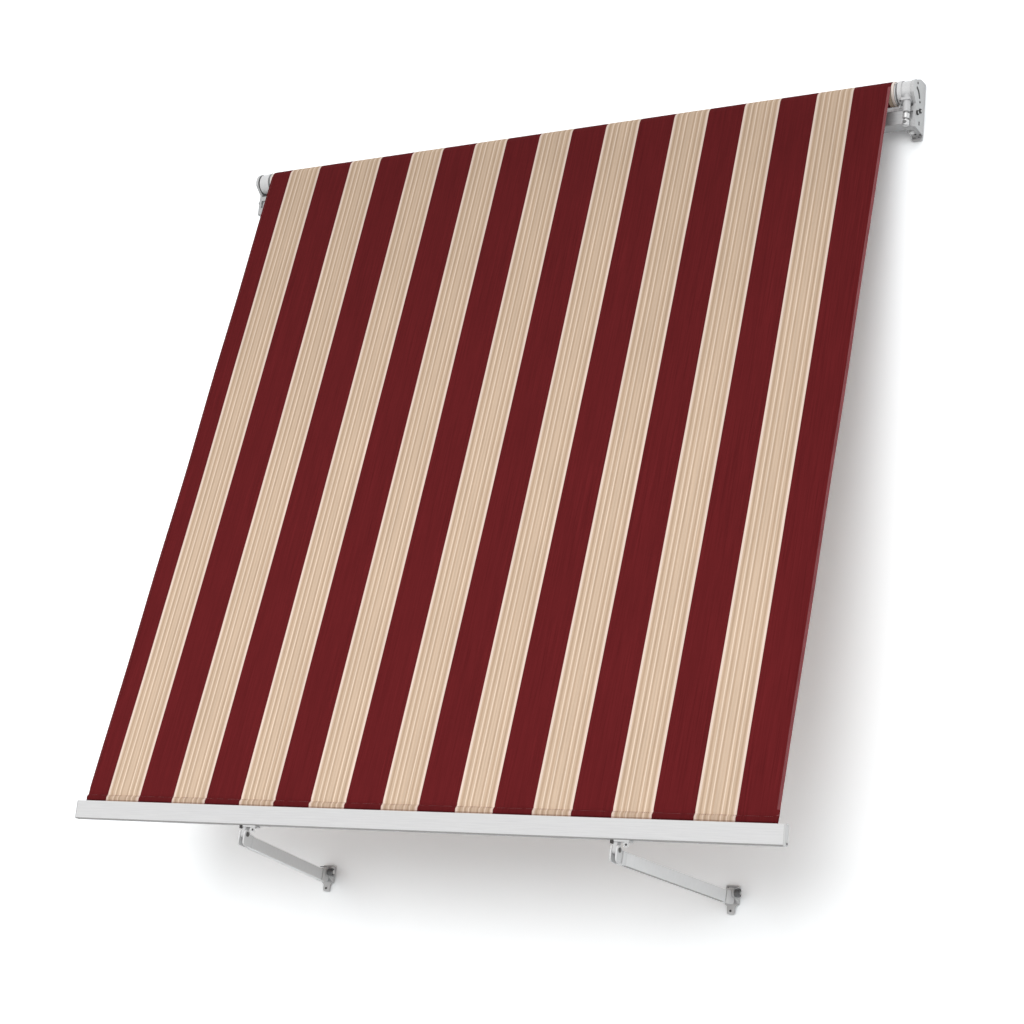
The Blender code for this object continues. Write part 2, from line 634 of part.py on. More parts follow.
def make_thread(core):
    """One start of thread, swept up the spindle so that a gap faces the wheel's middle tooth."""
    half = GEAR_PITCH / 4 - TOOTH_BACKLASH / 2
    wide = half + TOOTH_ROOT * tan(TOOTH_FLANK)
    narrow = half - TOOTH_HEIGHT * tan(TOOTH_FLANK)
    inside, crest = core - 0.001, WORM_PITCH_RADIUS + TOOTH_HEIGHT
    section = [(inside, -wide), (crest, -narrow), (crest, narrow), (inside, wide)]
    steps = 20
    turns = WORM_TURNS - 1
    bottom = AXIS_Z + GEAR_PITCH * (0.5 - 0.25 - WORM_TURNS / 2)
    shape = bmesh.new()
    rings = []
    for i in range(steps * turns + 1):
        turn = 2 * pi * i / steps
        rise = bottom + GEAR_PITCH * i / steps
        rings.append([shape.verts.new((WORM_X + r * cos(turn), WORM_Y + r * sin(turn), rise + z))
                      for r, z in section])
    for ring, following in zip(rings, rings[1:]):
        for i in range(4):
            j = (i + 1) % 4
            shape.faces.new((ring[i], ring[j], following[j], following[i]))
    shape.faces.new(rings[0])
    shape.faces.new(list(reversed(rings[-1])))
    mesh = bpy.data.meshes.new("worm_thread")
    shape.to_mesh(mesh)
    shape.free()
    weld(mesh)
    return add("worm_thread", mesh, STEEL)


def make_crank_eye():
    """Two turned blocks on a neck; the lower one has the cross hole for the crank's hook."""
    waist = EYE_Z + EYE_BLOCK / 2 + EYE_NECK_LENGTH
    bottom, top = EYE_Z - EYE_BLOCK / 2, STEM_BOTTOM - GAP
    edge = 0.0012
    profile = [(bottom, 0), (bottom, EYE_RADIUS - edge), (bottom + edge, EYE_RADIUS),
               (bottom + EYE_BLOCK - edge, EYE_RADIUS), (bottom + EYE_BLOCK, EYE_RADIUS - edge),
               (bottom + EYE_BLOCK, EYE_NECK), (waist, EYE_NECK), (waist, EYE_RADIUS - edge),
               (waist + edge, EYE_RADIUS), (waist + EYE_BLOCK - edge, EYE_RADIUS),
               (waist + EYE_BLOCK, EYE_RADIUS - edge), (waist + EYE_BLOCK, EYE_NECK), (top, EYE_NECK), (top, 0)]
    profile = [(along - bottom, radius) for along, radius in profile]
    eye = turned("crank_eye", profile, (WORM_X, WORM_Y, bottom), (0, 0, 1), STEEL, 24)
    cut(eye, rod("eye_hole", EYE_HOLE_RADIUS, (WORM_X, WORM_Y - 0.012, EYE_Z),
                 (WORM_X, WORM_Y + 0.012, EYE_Z), STEEL, 22))
    spindle_end = STEM_BOTTOM - GAP - EYE_NECK_LENGTH - EYE_BLOCK / 2
    cut(eye, rod("socket_bore", SPINDLE_RADIUS + GAP, (WORM_X, WORM_Y, spindle_end - GAP),
                 (WORM_X, WORM_Y, top + 0.004), STEEL, 20))
    return eye


# Left bearing: a drum like the winch's, with nothing but the bush in it

def make_left_bearing():
    return make_drum("left_bearing", FABRIC_LEFT, -1, 0.004)


# Sheet of cloth with its hem loop, and the rod in the hem

def make_sheet():
    """The free cloth, from the roll to the hem loop round its rod inside the front bar."""
    half = FABRIC_THICKNESS / 2
    loop = HEM_ROD_RADIUS + GAP + FABRIC_THICKNESS
    rod_place = SHEET_DROP + ROD_DEPTH
    lean = acos(half / loop) * 180 / pi
    round_hem = arc((0, rod_place), loop, -lean, 180 + lean, 12)
    ring = on_sheet([(-half, GAP), (half, GAP)]) + on_bar(round_hem)
    hole = on_bar(circle((0, rod_place), HEM_ROD_RADIUS + GAP, 20))
    sheet = across_wall("fabric_sheet", [ring, hole], FABRIC_LEFT, FABRIC_RIGHT, RED_CLOTH)
    stripe(sheet)
    return sheet


def stripe(sheet):
    """Split the cloth at the edges of its stripes and give every second stripe the beige yarn."""
    sheet.data.materials.append(BEIGE_CLOTH)
    shape = bmesh.new()
    shape.from_mesh(sheet.data)
    edge = FABRIC_LEFT + FIRST_STRIPE
    edges = []
    while edge < FABRIC_RIGHT:
        edges.append(edge)
        bmesh.ops.bisect_plane(shape, geom=shape.verts[:] + shape.edges[:] + shape.faces[:],
                               plane_co=(edge, 0, 0), plane_no=(1, 0, 0))
        edge += STRIPE_PITCH
    for face in shape.faces:
        x = face.calc_center_median().x
        face.material_index = sum(edge < x for edge in edges) % 2
    shape.to_mesh(sheet.data)
    shape.free()


def make_hem_rod():
    spot = BAR_TOP + BAR_DOWN * ROD_DEPTH
    return rod("hem_rod", HEM_ROD_RADIUS, (FABRIC_LEFT + 0.002, spot.y, spot.z),
               (FABRIC_RIGHT - 0.002, spot.y, spot.z), STEEL, 16)


# Front bar: hollow extrusion with a keder slot above and a fitting groove below

def bar_rectangle(low, high, radius):
    """A rectangle in the bar's own section: out from its middle, and down from its top."""
    ring = rounded_rectangle((low[0], SHEET_DROP + low[1]), (high[0], SHEET_DROP + high[1]), radius)
    return on_bar(ring)


def make_front_bar():
    half = FRONT_BAR_DEPTH / 2
    left = FABRIC_LEFT - FRONT_BAR_OVERHANG + END_CAP_THICKNESS
    right = FABRIC_RIGHT + FRONT_BAR_OVERHANG - END_CAP_THICKNESS
    outer = bar_rectangle((-half, 0), (half, FRONT_BAR_HEIGHT), FRONT_BAR_CORNER)
    chamber_top = KEDER_LIP + 2 * KEDER_RADIUS + FRONT_BAR_WALL
    chamber_bottom = FRONT_BAR_HEIGHT - GROOVE_LIP - GROOVE_DEPTH - FRONT_BAR_WALL
    inner = bar_rectangle((-half + FRONT_BAR_WALL, chamber_top), (half - FRONT_BAR_WALL, chamber_bottom),
                          0.002)
    bar = across_wall("front_bar", [outer, inner], left, right, COATED)
    past = (left - 0.01, right + 0.01)
    slot = bar_rectangle((-KEDER_SLOT / 2, -0.01), (KEDER_SLOT / 2, KEDER_LIP + 0.003), 0.0002)
    cut(bar, across_wall("keder_slot", [slot], *past, COATED))
    keder = on_bar(circle((0, SHEET_DROP + KEDER_LIP + KEDER_RADIUS), KEDER_RADIUS, 20))
    cut(bar, across_wall("keder_channel", [keder], *past, COATED))
    mouth = bar_rectangle((-GROOVE_OPENING / 2, FRONT_BAR_HEIGHT - GROOVE_LIP - 0.001),
                          (GROOVE_OPENING / 2, FRONT_BAR_HEIGHT + 0.01), 0.0002)
    cut(bar, across_wall("groove_mouth", [mouth], *past, COATED))
    groove = bar_rectangle((-GROOVE_WIDTH / 2, FRONT_BAR_HEIGHT - GROOVE_LIP - GROOVE_DEPTH),
                           (GROOVE_WIDTH / 2, FRONT_BAR_HEIGHT - GROOVE_LIP), 0.0004)
    cut(bar, across_wall("fitting_groove", [groove], *past, COATED))
    return bar


def make_bar_end(side, edge, way):
    """A moulded cap with a tongue in the bar's chamber, and its small screw."""
    half = FRONT_BAR_DEPTH / 2
    inner = FRONT_BAR_OVERHANG - END_CAP_THICKNESS + GAP
    low, high = span(edge, way, inner, inner + END_CAP_THICKNESS - GAP)
    face = bar_rectangle((-half, 0), (half, FRONT_BAR_HEIGHT), FRONT_BAR_CORNER)
    cap = across_wall("bar_cap_" + side, [face], low, high, GREY_PLASTIC)
    low, high = span(edge, way, inner - 0.012, inner + 0.001)
    chamber_top = KEDER_LIP + 2 * KEDER_RADIUS + FRONT_BAR_WALL + GAP
    tongue = bar_rectangle((-half + FRONT_BAR_WALL + GAP, chamber_top), (half - FRONT_BAR_WALL - GAP, 0.036),
                           0.002)
    fuse(cap, across_wall("cap_tongue_" + side, [tongue], low, high, GREY_PLASTIC))
    spot = BAR_TOP + BAR_DOWN * (FRONT_BAR_HEIGHT - 0.006) - BAR_OUT * 0.003
    start = edge + way * (FRONT_BAR_OVERHANG + GAP)
    screw = [(0, 0), (0, 0.0026), (0.0008, 0.0024), (0.0014, 0.0014), (0.0014, 0)]
    return cap, turned("cap_screw_" + side, screw, (start, spot.y, spot.z), (way, 0, 0), STEEL, 16)


# Arms

ARM_PITCH = atan2(FRONT_PIN.z - WALL_PIN.z, WALL_PIN.y - FRONT_PIN.y)


def arm_spot(pin, way, along, rise):
    """A point in the arm's own side view: along it from the pin, and above the line of the pins."""
    back = Vector((0, -cos(ARM_PITCH), sin(ARM_PITCH))) * way
    up = Vector((0, sin(ARM_PITCH), cos(ARM_PITCH)))
    return pin + back * along + up * rise


def arm_end_outline(pin, way):
    """The rounded end of an arm: a lobe round the pin, run down to the depth of the tube."""
    top = ARM_TUBE_HEIGHT / 2 - ARM_TUBE_OFFSET
    bottom = top - ARM_TUBE_HEIGHT
    radius = ARM_END_RADIUS
    length = ARM_END_LENGTH - GAP
    ring = [(length - ARM_END_OVERLAP / 2, top), (radius, top)]
    ring += arc((0, 0), radius, 10, 180, 12)
    ring += arc((0, bottom + radius), radius, 180, 270, 8)
    ring += [(length - ARM_END_OVERLAP / 2, bottom)]
    spots = [arm_spot(pin, way, along, rise) for along, rise in ring]
    return [(spot.y, spot.z) for spot in spots]


def beam(name, start, end, width, height, finish, collection=PARTS):
    """A rectangular bar between two points, with its width level and its height upright."""
    run = (end - start).normalized()
    level = Vector((0, 0, 1)).cross(run).normalized()
    upright = run.cross(level)
    shape = bmesh.new()
    bmesh.ops.create_cube(shape, size=1)
    bmesh.ops.scale(shape, vec=(width, height, (end - start).length), verts=shape.verts)
    mesh = bpy.data.meshes.new(name)
    shape.to_mesh(mesh)
    shape.free()
    turn = Matrix((level, upright, run)).transposed().to_4x4()
    mesh.transform(Matrix.Translation((start + end) / 2) @ turn)
    return add(name, mesh, finish, collection)


def make_arm(side, place, way):
    wall = Vector((MIDDLE + place + way * ARM_TOE_OUT, WALL_PIN.y, WALL_PIN.z))
    front = Vector((MIDDLE + place, FRONT_PIN.y, FRONT_PIN.z))
    run = (front - wall).normalized()
    up = Vector((0, sin(ARM_PITCH), cos(ARM_PITCH)))
    sink = up * -ARM_TUBE_OFFSET
    near, far = wall + sink, front + sink
    width, height = ARM_TUBE_WIDTH, ARM_TUBE_HEIGHT
    tube = beam("arm_tube_" + side, near + run * ARM_END_LENGTH, far - run * ARM_END_LENGTH,
                width, height, ARM_FINISH)
    rounding = tube.modifiers.new("rounding", "BEVEL")
    rounding.width = 0.0015
    rounding.segments = 2
    wall_inset = 2 * ARM_TUBE_WALL
    cut(tube, beam("tube_hollow_" + side, near, far, width - wall_inset, height - wall_inset, ARM_FINISH,
                   CUTTERS))
    pieces = [tube]
    for name, pin, lean, way_along in (("arm_tongue_", wall, run, 1), ("arm_fork_", front, -run, -1)):
        outline = arm_end_outline(pin, way_along)
        fork = name == "arm_fork_"
        half = ARM_TONGUE / 2 + (GAP + FORK_CHEEK if fork else 0)
        end = across_wall(name + side, [outline], pin.x - half, pin.x + half, CAST)
        start = pin + sink + lean * (ARM_END_LENGTH - ARM_END_OVERLAP)
        stop = pin + sink + lean * (ARM_END_LENGTH - GAP)
        fuse(end, beam(name + "block_" + side, start, stop, width + 0.004, height, CAST))
        plug_end = pin + sink + lean * (ARM_END_LENGTH + 0.016)
        inset = 2 * (ARM_TUBE_WALL + GAP)
        fuse(end, beam(name + "plug_" + side, start, plug_end, width - inset, height - inset, CAST))
        hole = circle((pin.y, pin.z), PIN_RADIUS + GAP, 24)
        cut(end, across_wall(name + "hole_" + side, [hole], pin.x - 0.02, pin.x + 0.02, CAST))
        if fork:
            reach = ARM_END_LENGTH - ARM_END_OVERLAP
            mouth = [arm_spot(pin, way_along, along, rise)
                     for along, rise in ((-0.03, 0.03), (reach, 0.03), (reach, -0.05), (-0.03, -0.05))]
            ring = [(spot.y, spot.z) for spot in mouth]
            gap = ARM_TONGUE / 2 + GAP
            cut(end, across_wall("fork_mouth_" + side, [ring], pin.x - gap, pin.x + gap, CAST))
        pieces.append(end)
    pivot(f"arm_{side}_pivot", wall, pieces)


def make_arm_bracket(side, place, way):
    """The wall plate with two ears, the headed pin that the arm hangs on, and its coil spring."""
    x = MIDDLE + place + way * ARM_TOE_OUT
    y, z = WALL_PIN.y, WALL_PIN.z
    middle, half, tab = x - ARM_PLATE_SHIFT, ARM_PLATE_WIDTH / 2, ARM_TAB_WIDTH / 2
    top, shoulder, bottom = z + ARM_PLATE_RISE, z - ARM_PLATE_DROP, z - ARM_TAB_DROP
    plate = arc((middle - tab + 0.006, bottom + 0.006), 0.006, 180, 270, 4)
    plate += arc((middle + tab - 0.006, bottom + 0.006), 0.006, 270, 360, 4)
    plate += [(middle + tab, shoulder - 0.003), (middle + tab + 0.0015, shoulder - 0.0012)]
    plate += arc((middle + half - 0.003, shoulder + 0.003), 0.003, 270, 360, 3)
    plate += arc((middle + half - 0.003, top - 0.003), 0.003, 0, 90, 3)
    plate += arc((middle - half + 0.003, top - 0.003), 0.003, 90, 180, 3)
    plate += arc((middle - half + 0.003, shoulder + 0.003), 0.003, 180, 270, 3)
    plate += [(middle - tab - 0.0015, shoulder - 0.0015), (middle - tab, shoulder - 0.0035)]
    holes = [circle((middle, z - ARM_HOLE_PLACE), WALL_HOLE_RADIUS, 24),
             circle((middle - half + 0.007, z + 0.012), WALL_HOLE_RADIUS, 24)]
    bracket = off_wall("arm_bracket_" + side, [plate, *holes], 0, ARM_PLATE_THICKNESS, CAST)
    ear = [(-0.001, z - 0.026), (-0.001, z + 0.018), (-0.012, z + 0.016)]
    ear += arc((y, z), ARM_END_RADIUS, 70, 290, 14)
    ear += [(-0.012, z - 0.018)]
    gap = ARM_TONGUE / 2 + GAP
    hole = circle((y, z), PIN_RADIUS + GAP, 24)
    ears = across_wall("ears_" + side, [ear, hole], x - gap - ARM_EAR, x + gap + ARM_EAR, CAST)
    cut(ears, box("ear_gap_" + side, (x - gap, y - 0.03, z - 0.05), (x + gap, 0.01, z + 0.05), CAST))
    fuse(bracket, ears)
    outside = gap + ARM_EAR + GAP
    spring_room = 2 * SPRING_WIRE * (SPRING_TURNS + 1) + 0.002
    headed_pin("arm_pin_" + side, (x, y, z), outside, outside + spring_room)
    make_spring(side, Vector((x + outside + SPRING_WIRE, y, z)))


def headed_pin(name, place, left, right):
    """A turned pin with a head on its left end and a washer-like clip on its right end."""
    head = 0.0025
    profile = [(0, 0), (0, PIN_HEAD), (head, PIN_HEAD), (head, PIN_RADIUS),
               (head + left + right, PIN_RADIUS), (head + left + right, PIN_HEAD - 0.001),
               (head + left + right + 0.0015, PIN_HEAD - 0.001), (head + left + right + 0.0015, 0)]
    start = (place[0] - left - head, place[1], place[2])
    return turned(name, profile, start, (1, 0, 0), STEEL, 20)


def make_spring(side, start):
    """A torsion spring: one leg behind it against the wall plate, the coil, and one leg over the arm."""
    pitch = 2 * SPRING_WIRE + 0.0003
    radius = SPRING_RADIUS
    steps = 14
    points = [start + Vector((0, 0.022, -radius))]
    for i in range(SPRING_TURNS * steps + steps // 2 + 1):
        turn = 2 * pi * i / steps
        points.append(start + Vector((pitch * i / steps, -radius * sin(turn), -radius * cos(turn))))
    end = points[-1]
    points.append(end + Vector((0, -0.030, 0.001)))
    points.append(end + Vector((0, -0.034, 0.0015)))
    points.append(end + Vector((-0.020, -0.036, 0.0015)))
    curve = bpy.data.curves.new("arm_spring_" + side, "CURVE")
    curve.dimensions = "3D"
    curve.bevel_depth = SPRING_WIRE
    curve.bevel_resolution = 1
    curve.use_fill_caps = True
    spline = curve.splines.new("POLY")
    spline.points.add(len(points) - 1)
    for point, spot in zip(spline.points, points):
        point.co = (*spot, 1)
    drawn = bpy.data.objects.new("spring_wire", curve)
    CUTTERS.objects.link(drawn)
    bpy.context.view_layer.update()
    mesh = bpy.data.meshes.new_from_object(drawn.evaluated_get(bpy.context.evaluated_depsgraph_get()))
    bpy.data.objects.remove(drawn)
    weld(mesh)
    return add("arm_spring_" + side, mesh, SPRING_STEEL)


# Front fittings: a foot in the bar's groove, a plate with a screw ear, and the tongue in the fork

def make_front_fitting(side, place):
    x = MIDDLE + place
    half = FRONT_BAR_DEPTH / 2
    under = SHEET_DROP + FRONT_BAR_HEIGHT + GAP
    base = [(-half, under), (half, under), (half, under + FITTING_BASE), (-half, under + FITTING_BASE)]
    fitting = across_wall("front_fitting_" + side, [on_bar(base)], x - 0.014, x + FITTING_EAR, CAST)
    neck = GROOVE_OPENING / 2 - GAP
    head = GROOVE_WIDTH / 2 - GAP
    lip = under - GAP - GROOVE_LIP - GAP
    top = lip - GROOVE_DEPTH + 2 * GAP
    foot = [(-neck, under + 0.001), (-neck, lip), (-head, lip), (-head, top), (head, top),
            (head, lip - 0.0001), (neck, lip - 0.0001), (neck, under + 0.001)]
    fuse(fitting, across_wall("foot_" + side, [on_bar(foot)], x - 0.012, x + 0.014, CAST))
    tongue = [(half - 0.002, under + FITTING_BASE - 0.001), (0.003 - half, under + FITTING_BASE - 0.001)]
    pin_down = SHEET_DROP + FRONT_BAR_HEIGHT + ARM_FRONT_PIN_DROP
    tongue += arc((ARM_FRONT_PIN_OUT, pin_down), ARM_END_RADIUS - 0.001, 187, 13, 12)
    width = ARM_TONGUE / 2
    fuse(fitting, across_wall("fitting_tongue_" + side, [on_bar(tongue)], x - width, x + width, CAST))
    hole = circle((FRONT_PIN.y, FRONT_PIN.z), PIN_RADIUS + GAP, 24)
    cut(fitting, across_wall("fitting_hole_" + side, [hole], x - 0.02, x + 0.02, CAST))
    # The ear's screw clamps the fitting in the groove
    down = under + FITTING_BASE
    ear = BAR_TOP + BAR_DOWN * (down - SHEET_DROP + GAP)
    screw = [(0, 0), (0, 0.0045), (0.0015, 0.0045), (0.0030, 0.0030), (0.0030, 0)]
    clamp = turned("ear_screw_" + side, screw, (x + EAR_SCREW_PLACE, ear.y, ear.z), BAR_DOWN, STEEL, 16)
    outside = ARM_TONGUE / 2 + GAP + FORK_CHEEK + GAP
    place = (x, FRONT_PIN.y, FRONT_PIN.z)
    return fitting, clamp, headed_pin("front_pin_" + side, place, outside, outside)


# Fixed pieces

make_support_bar()
for side, edge, way in sides():
    make_end_bracket(side, edge, way)
    make_bush(side, edge, way)
make_winch_housing()
make_left_bearing()
make_cover("winch_cover", FABRIC_RIGHT, 1, CAST)
make_cover("bearing_cover", FABRIC_LEFT, -1, CAST)

# Pieces that turn with the roller, with the crank and with the cloth's slope

roller = [make_tube(), make_wound_cloth(), make_worm_wheel()]
roller += [make_plug(side, edge, way) for side, edge, way in sides()]
pivot("roller_pivot", (MIDDLE, AXIS_Y, AXIS_Z), roller)
pivot("crank_pivot", (WORM_X, WORM_Y, STEM_BOTTOM), [make_worm_spindle(), make_crank_eye()])
pivot("canopy_pivot", (MIDDLE, AXIS_Y, AXIS_Z), [make_sheet()])

# The two arms, and the front bar with all that it carries

bar = [make_front_bar(), make_hem_rod()]
for side, edge, way in sides():
    bar += make_bar_end(side, edge, way)
for side, place, way in (("left", LEFT_ARM_PLACE, -1), ("right", RIGHT_ARM_PLACE, 1)):
    make_arm(side, place, way)
    make_arm_bracket(side, place, way)
    bar += make_front_fitting(side, place)
pivot("front_bar_pivot", (MIDDLE + LEFT_ARM_PLACE, FRONT_PIN.y, FRONT_PIN.z), bar)
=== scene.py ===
from math import cos, exp, pi, radians, sin

import bmesh
import bpy
from mathutils import Matrix, Vector


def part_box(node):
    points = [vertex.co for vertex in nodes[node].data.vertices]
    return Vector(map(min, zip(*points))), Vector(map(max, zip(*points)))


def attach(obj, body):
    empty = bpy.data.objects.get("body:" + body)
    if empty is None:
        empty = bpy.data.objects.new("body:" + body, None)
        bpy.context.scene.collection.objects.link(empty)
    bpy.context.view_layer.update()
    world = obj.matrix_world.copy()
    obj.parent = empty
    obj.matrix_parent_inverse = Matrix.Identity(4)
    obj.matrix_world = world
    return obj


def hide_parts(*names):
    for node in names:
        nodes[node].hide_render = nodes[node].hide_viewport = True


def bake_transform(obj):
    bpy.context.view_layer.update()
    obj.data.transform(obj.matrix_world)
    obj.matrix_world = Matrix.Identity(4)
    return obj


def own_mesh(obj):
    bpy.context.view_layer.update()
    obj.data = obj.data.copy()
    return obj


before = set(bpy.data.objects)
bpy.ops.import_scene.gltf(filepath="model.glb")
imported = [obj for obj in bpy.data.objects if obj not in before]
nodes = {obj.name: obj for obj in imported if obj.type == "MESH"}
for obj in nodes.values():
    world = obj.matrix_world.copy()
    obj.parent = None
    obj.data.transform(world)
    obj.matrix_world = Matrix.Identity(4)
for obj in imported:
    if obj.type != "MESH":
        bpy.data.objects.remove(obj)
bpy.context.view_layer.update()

scene = bpy.context.scene
scene.view_settings.view_transform = "Standard"


# Camera. The awning is seen from below and from its right, as from the pavement in front of the
# next window, through a long lens.
camera_data = bpy.data.cameras.new("camera")
camera_data.lens = 74.89
camera_data.sensor_width = 36.0
camera_data.clip_end = 60.0
camera = bpy.data.objects.new("camera", camera_data)
scene.collection.objects.link(camera)
camera.matrix_world = Matrix(((0.86837, 0.04089, 0.49422, 3.7730),
                              (0.48604, -0.26784, -0.83184, -4.7777),
                              (0.09836, 0.96255, -0.25246, -2.4328),
                              (0.0, 0.0, 0.0, 1.0)))
scene.camera = camera


# Wall and floor. A plain white house wall behind the awning, which takes its soft shadow and is
# clear from behind, and a plain pale pavement below it.
def linear(red, green, blue):
    """A colour given as 0 to 255 on screen, as the linear values that the nodes take."""
    result = []
    for value in (red, green, blue):
        share = value / 255.0
        result.append(share / 12.92 if share <= 0.04045 else ((share + 0.055) / 1.055) ** 2.4)
    return (result[0], result[1], result[2], 1.0)


def new_material(name):
    """An empty node material with its output node."""
    material = bpy.data.materials.new(name)
    material.use_nodes = True
    material.node_tree.nodes.clear()
    output = material.node_tree.nodes.new("ShaderNodeOutputMaterial")
    output.location = (900, 0)
    return material, material.node_tree, output


def looked_at(tree):
    """One where a camera ray, a reflection or a ray through glass meets the surface, otherwise zero."""
    path = tree.nodes.new("ShaderNodeLightPath")
    seen_by = tree.nodes.new("ShaderNodeMath")
    seen_by.operation = "MAXIMUM"
    mirrored = tree.nodes.new("ShaderNodeMath")
    mirrored.operation = "MAXIMUM"
    tree.links.new(path.outputs["Is Glossy Ray"], mirrored.inputs[0])
    tree.links.new(path.outputs["Is Transmission Ray"], mirrored.inputs[1])
    tree.links.new(path.outputs["Is Camera Ray"], seen_by.inputs[0])
    tree.links.new(mirrored.outputs["Value"], seen_by.inputs[1])
    return seen_by.outputs["Value"]


def backdrop(name, seen, bounced, corners):
    """A flat plane, clear from its back, with one colour for what looks at it and one for its bounce."""
    mesh = bpy.data.meshes.new(name)
    mesh.from_pydata(corners, [], [(0, 1, 2, 3)])
    plane = bpy.data.objects.new(name, mesh)
    scene.collection.objects.link(plane)
    material, tree, output = new_material(name)
    dull = tree.nodes.new("ShaderNodeBsdfDiffuse")
    dull.inputs["Color"].default_value = bounced
    bright = tree.nodes.new("ShaderNodeBsdfDiffuse")
    bright.inputs["Color"].default_value = seen
    paint = tree.nodes.new("ShaderNodeMixShader")
    tree.links.new(looked_at(tree), paint.inputs["Fac"])
    tree.links.new(dull.outputs["BSDF"], paint.inputs[1])
    tree.links.new(bright.outputs["BSDF"], paint.inputs[2])
    clear = tree.nodes.new("ShaderNodeBsdfTransparent")
    side = tree.nodes.new("ShaderNodeNewGeometry")
    mix = tree.nodes.new("ShaderNodeMixShader")
    tree.links.new(side.outputs["Backfacing"], mix.inputs["Fac"])
    tree.links.new(paint.outputs["Shader"], mix.inputs[1])
    tree.links.new(clear.outputs["BSDF"], mix.inputs[2])
    tree.links.new(mix.outputs["Shader"], output.inputs["Surface"])
    mesh.materials.append(material)


wall_left, wall_right, wall_top = -9.0, 11.0, 7.0
wall_face, street_edge, ground = 0.003, -12.0, -2.6
backdrop("house_wall", (1.43, 1.47, 1.49, 1.0), (0.86, 0.88, 0.88, 1.0),
         [(wall_left, wall_face, ground), (wall_right, wall_face, ground),
          (wall_right, wall_face, wall_top), (wall_left, wall_face, wall_top)])
backdrop("pavement", (1.40, 1.40, 1.40, 1.0), (0.75, 0.75, 0.75, 1.0),
         [(wall_left, street_edge, ground), (wall_right, street_edge, ground),
          (wall_right, wall_face, ground), (wall_left, wall_face, ground)])


# Studio light. One very broad, soft light from the front and a little above, and an even white
# surround that fills the shade.
world = bpy.data.worlds.new("surround")
world.use_nodes = True
scene.world = world
sky = world.node_tree
sky.nodes.clear()
sky_output = sky.nodes.new("ShaderNodeOutputWorld")
sky_light = sky.nodes.new("ShaderNodeBackground")
sky_light.inputs["Color"].default_value = (1.0, 1.0, 1.0, 1.0)
sky_light.inputs["Strength"].default_value = 0.735
sky_white = sky.nodes.new("ShaderNodeBackground")
sky_white.inputs["Color"].default_value = (0.985, 0.985, 0.985, 1.0)
sky_white.inputs["Strength"].default_value = 1.0
sky_mix = sky.nodes.new("ShaderNodeMixShader")
sky.links.new(looked_at(sky), sky_mix.inputs["Fac"])
sky.links.new(sky_light.outputs["Background"], sky_mix.inputs[1])
sky.links.new(sky_white.outputs["Background"], sky_mix.inputs[2])
sky.links.new(sky_mix.outputs["Shader"], sky_output.inputs["Surface"])

key_data = bpy.data.lights.new("broad_key", "SUN")
key_data.energy = 0.93
key_data.angle = radians(34.0)
key = bpy.data.objects.new("broad_key", key_data)
scene.collection.objects.link(key)
sunward = Vector((-0.08, 0.95, -0.25))
key.rotation_euler = sunward.to_track_quat("-Z", "Y").to_euler()


# End brackets. Two aluminium castings with a light grey coat, drawn in a darker grey for painted shade.
# Each hooks over the support bar, is screwed to the wall through its flange, and carries a roller bearing
# on its web, with two screws in black rings, a thin black disc behind the bearing and black fills in the
# web's slots, which paint the shade round the screw heads, in the gap and in the slots.
def link(tree, source, target):
    """Joins one node's output to another's input."""
    tree.links.new(source, target)


def maths(tree, operation, first, second=None):
    """A Math node; each value is a number or another node's output."""
    node = tree.nodes.new("ShaderNodeMath")
    node.operation = operation
    for place, value in enumerate((first, second)):
        if value is None:
            continue
        if isinstance(value, (int, float)):
            node.inputs[place].default_value = value
        else:
            tree.links.new(value, node.inputs[place])
    return node.outputs["Value"]


def mixed(tree, blend, factor, first, second):
    """A colour Mix node; each value is a number, a colour or another node's output."""
    node = tree.nodes.new("ShaderNodeMix")
    node.data_type = "RGBA"
    node.blend_type = blend
    for socket, value in ((node.inputs[0], factor), (node.inputs[6], first), (node.inputs[7], second)):
        if isinstance(value, (int, float, tuple)):
            socket.default_value = value
        else:
            tree.links.new(value, socket)
    return node.outputs[2]


def stretched_noise(tree, vector, stretch, scale, detail=2.0, roughness=0.5):
    """Noise whose grain is drawn out by stretch, a factor for each axis."""
    place = tree.nodes.new("ShaderNodeVectorMath")
    place.operation = "MULTIPLY"
    place.inputs[1].default_value = stretch
    tree.links.new(vector, place.inputs[0])
    noise = tree.nodes.new("ShaderNodeTexNoise")
    noise.inputs["Scale"].default_value = scale
    noise.inputs["Detail"].default_value = detail
    noise.inputs["Roughness"].default_value = roughness
    tree.links.new(place.outputs["Vector"], noise.inputs["Vector"])
    return noise.outputs["Fac"]


def ramp(tree, value, stops):
    """A colour ramp from a list of (place, colour)."""
    node = tree.nodes.new("ShaderNodeValToRGB")
    elements = node.color_ramp.elements
    elements[0].position = stops[0][0]
    elements[0].color = stops[0][1]
    elements[1].position = stops[-1][0]
    elements[1].color = stops[-1][1]
    for position, colour in stops[1:-1]:
        elements.new(position).color = colour
    tree.links.new(value, node.inputs["Fac"])
    return node.outputs["Color"]


def group_socket(group, name, direction, kind, default=None):
    """A named input or output of a node group."""
    socket = group.interface.new_socket(name=name, in_out=direction, socket_type=kind)
    if default is not None:
        socket.default_value = default


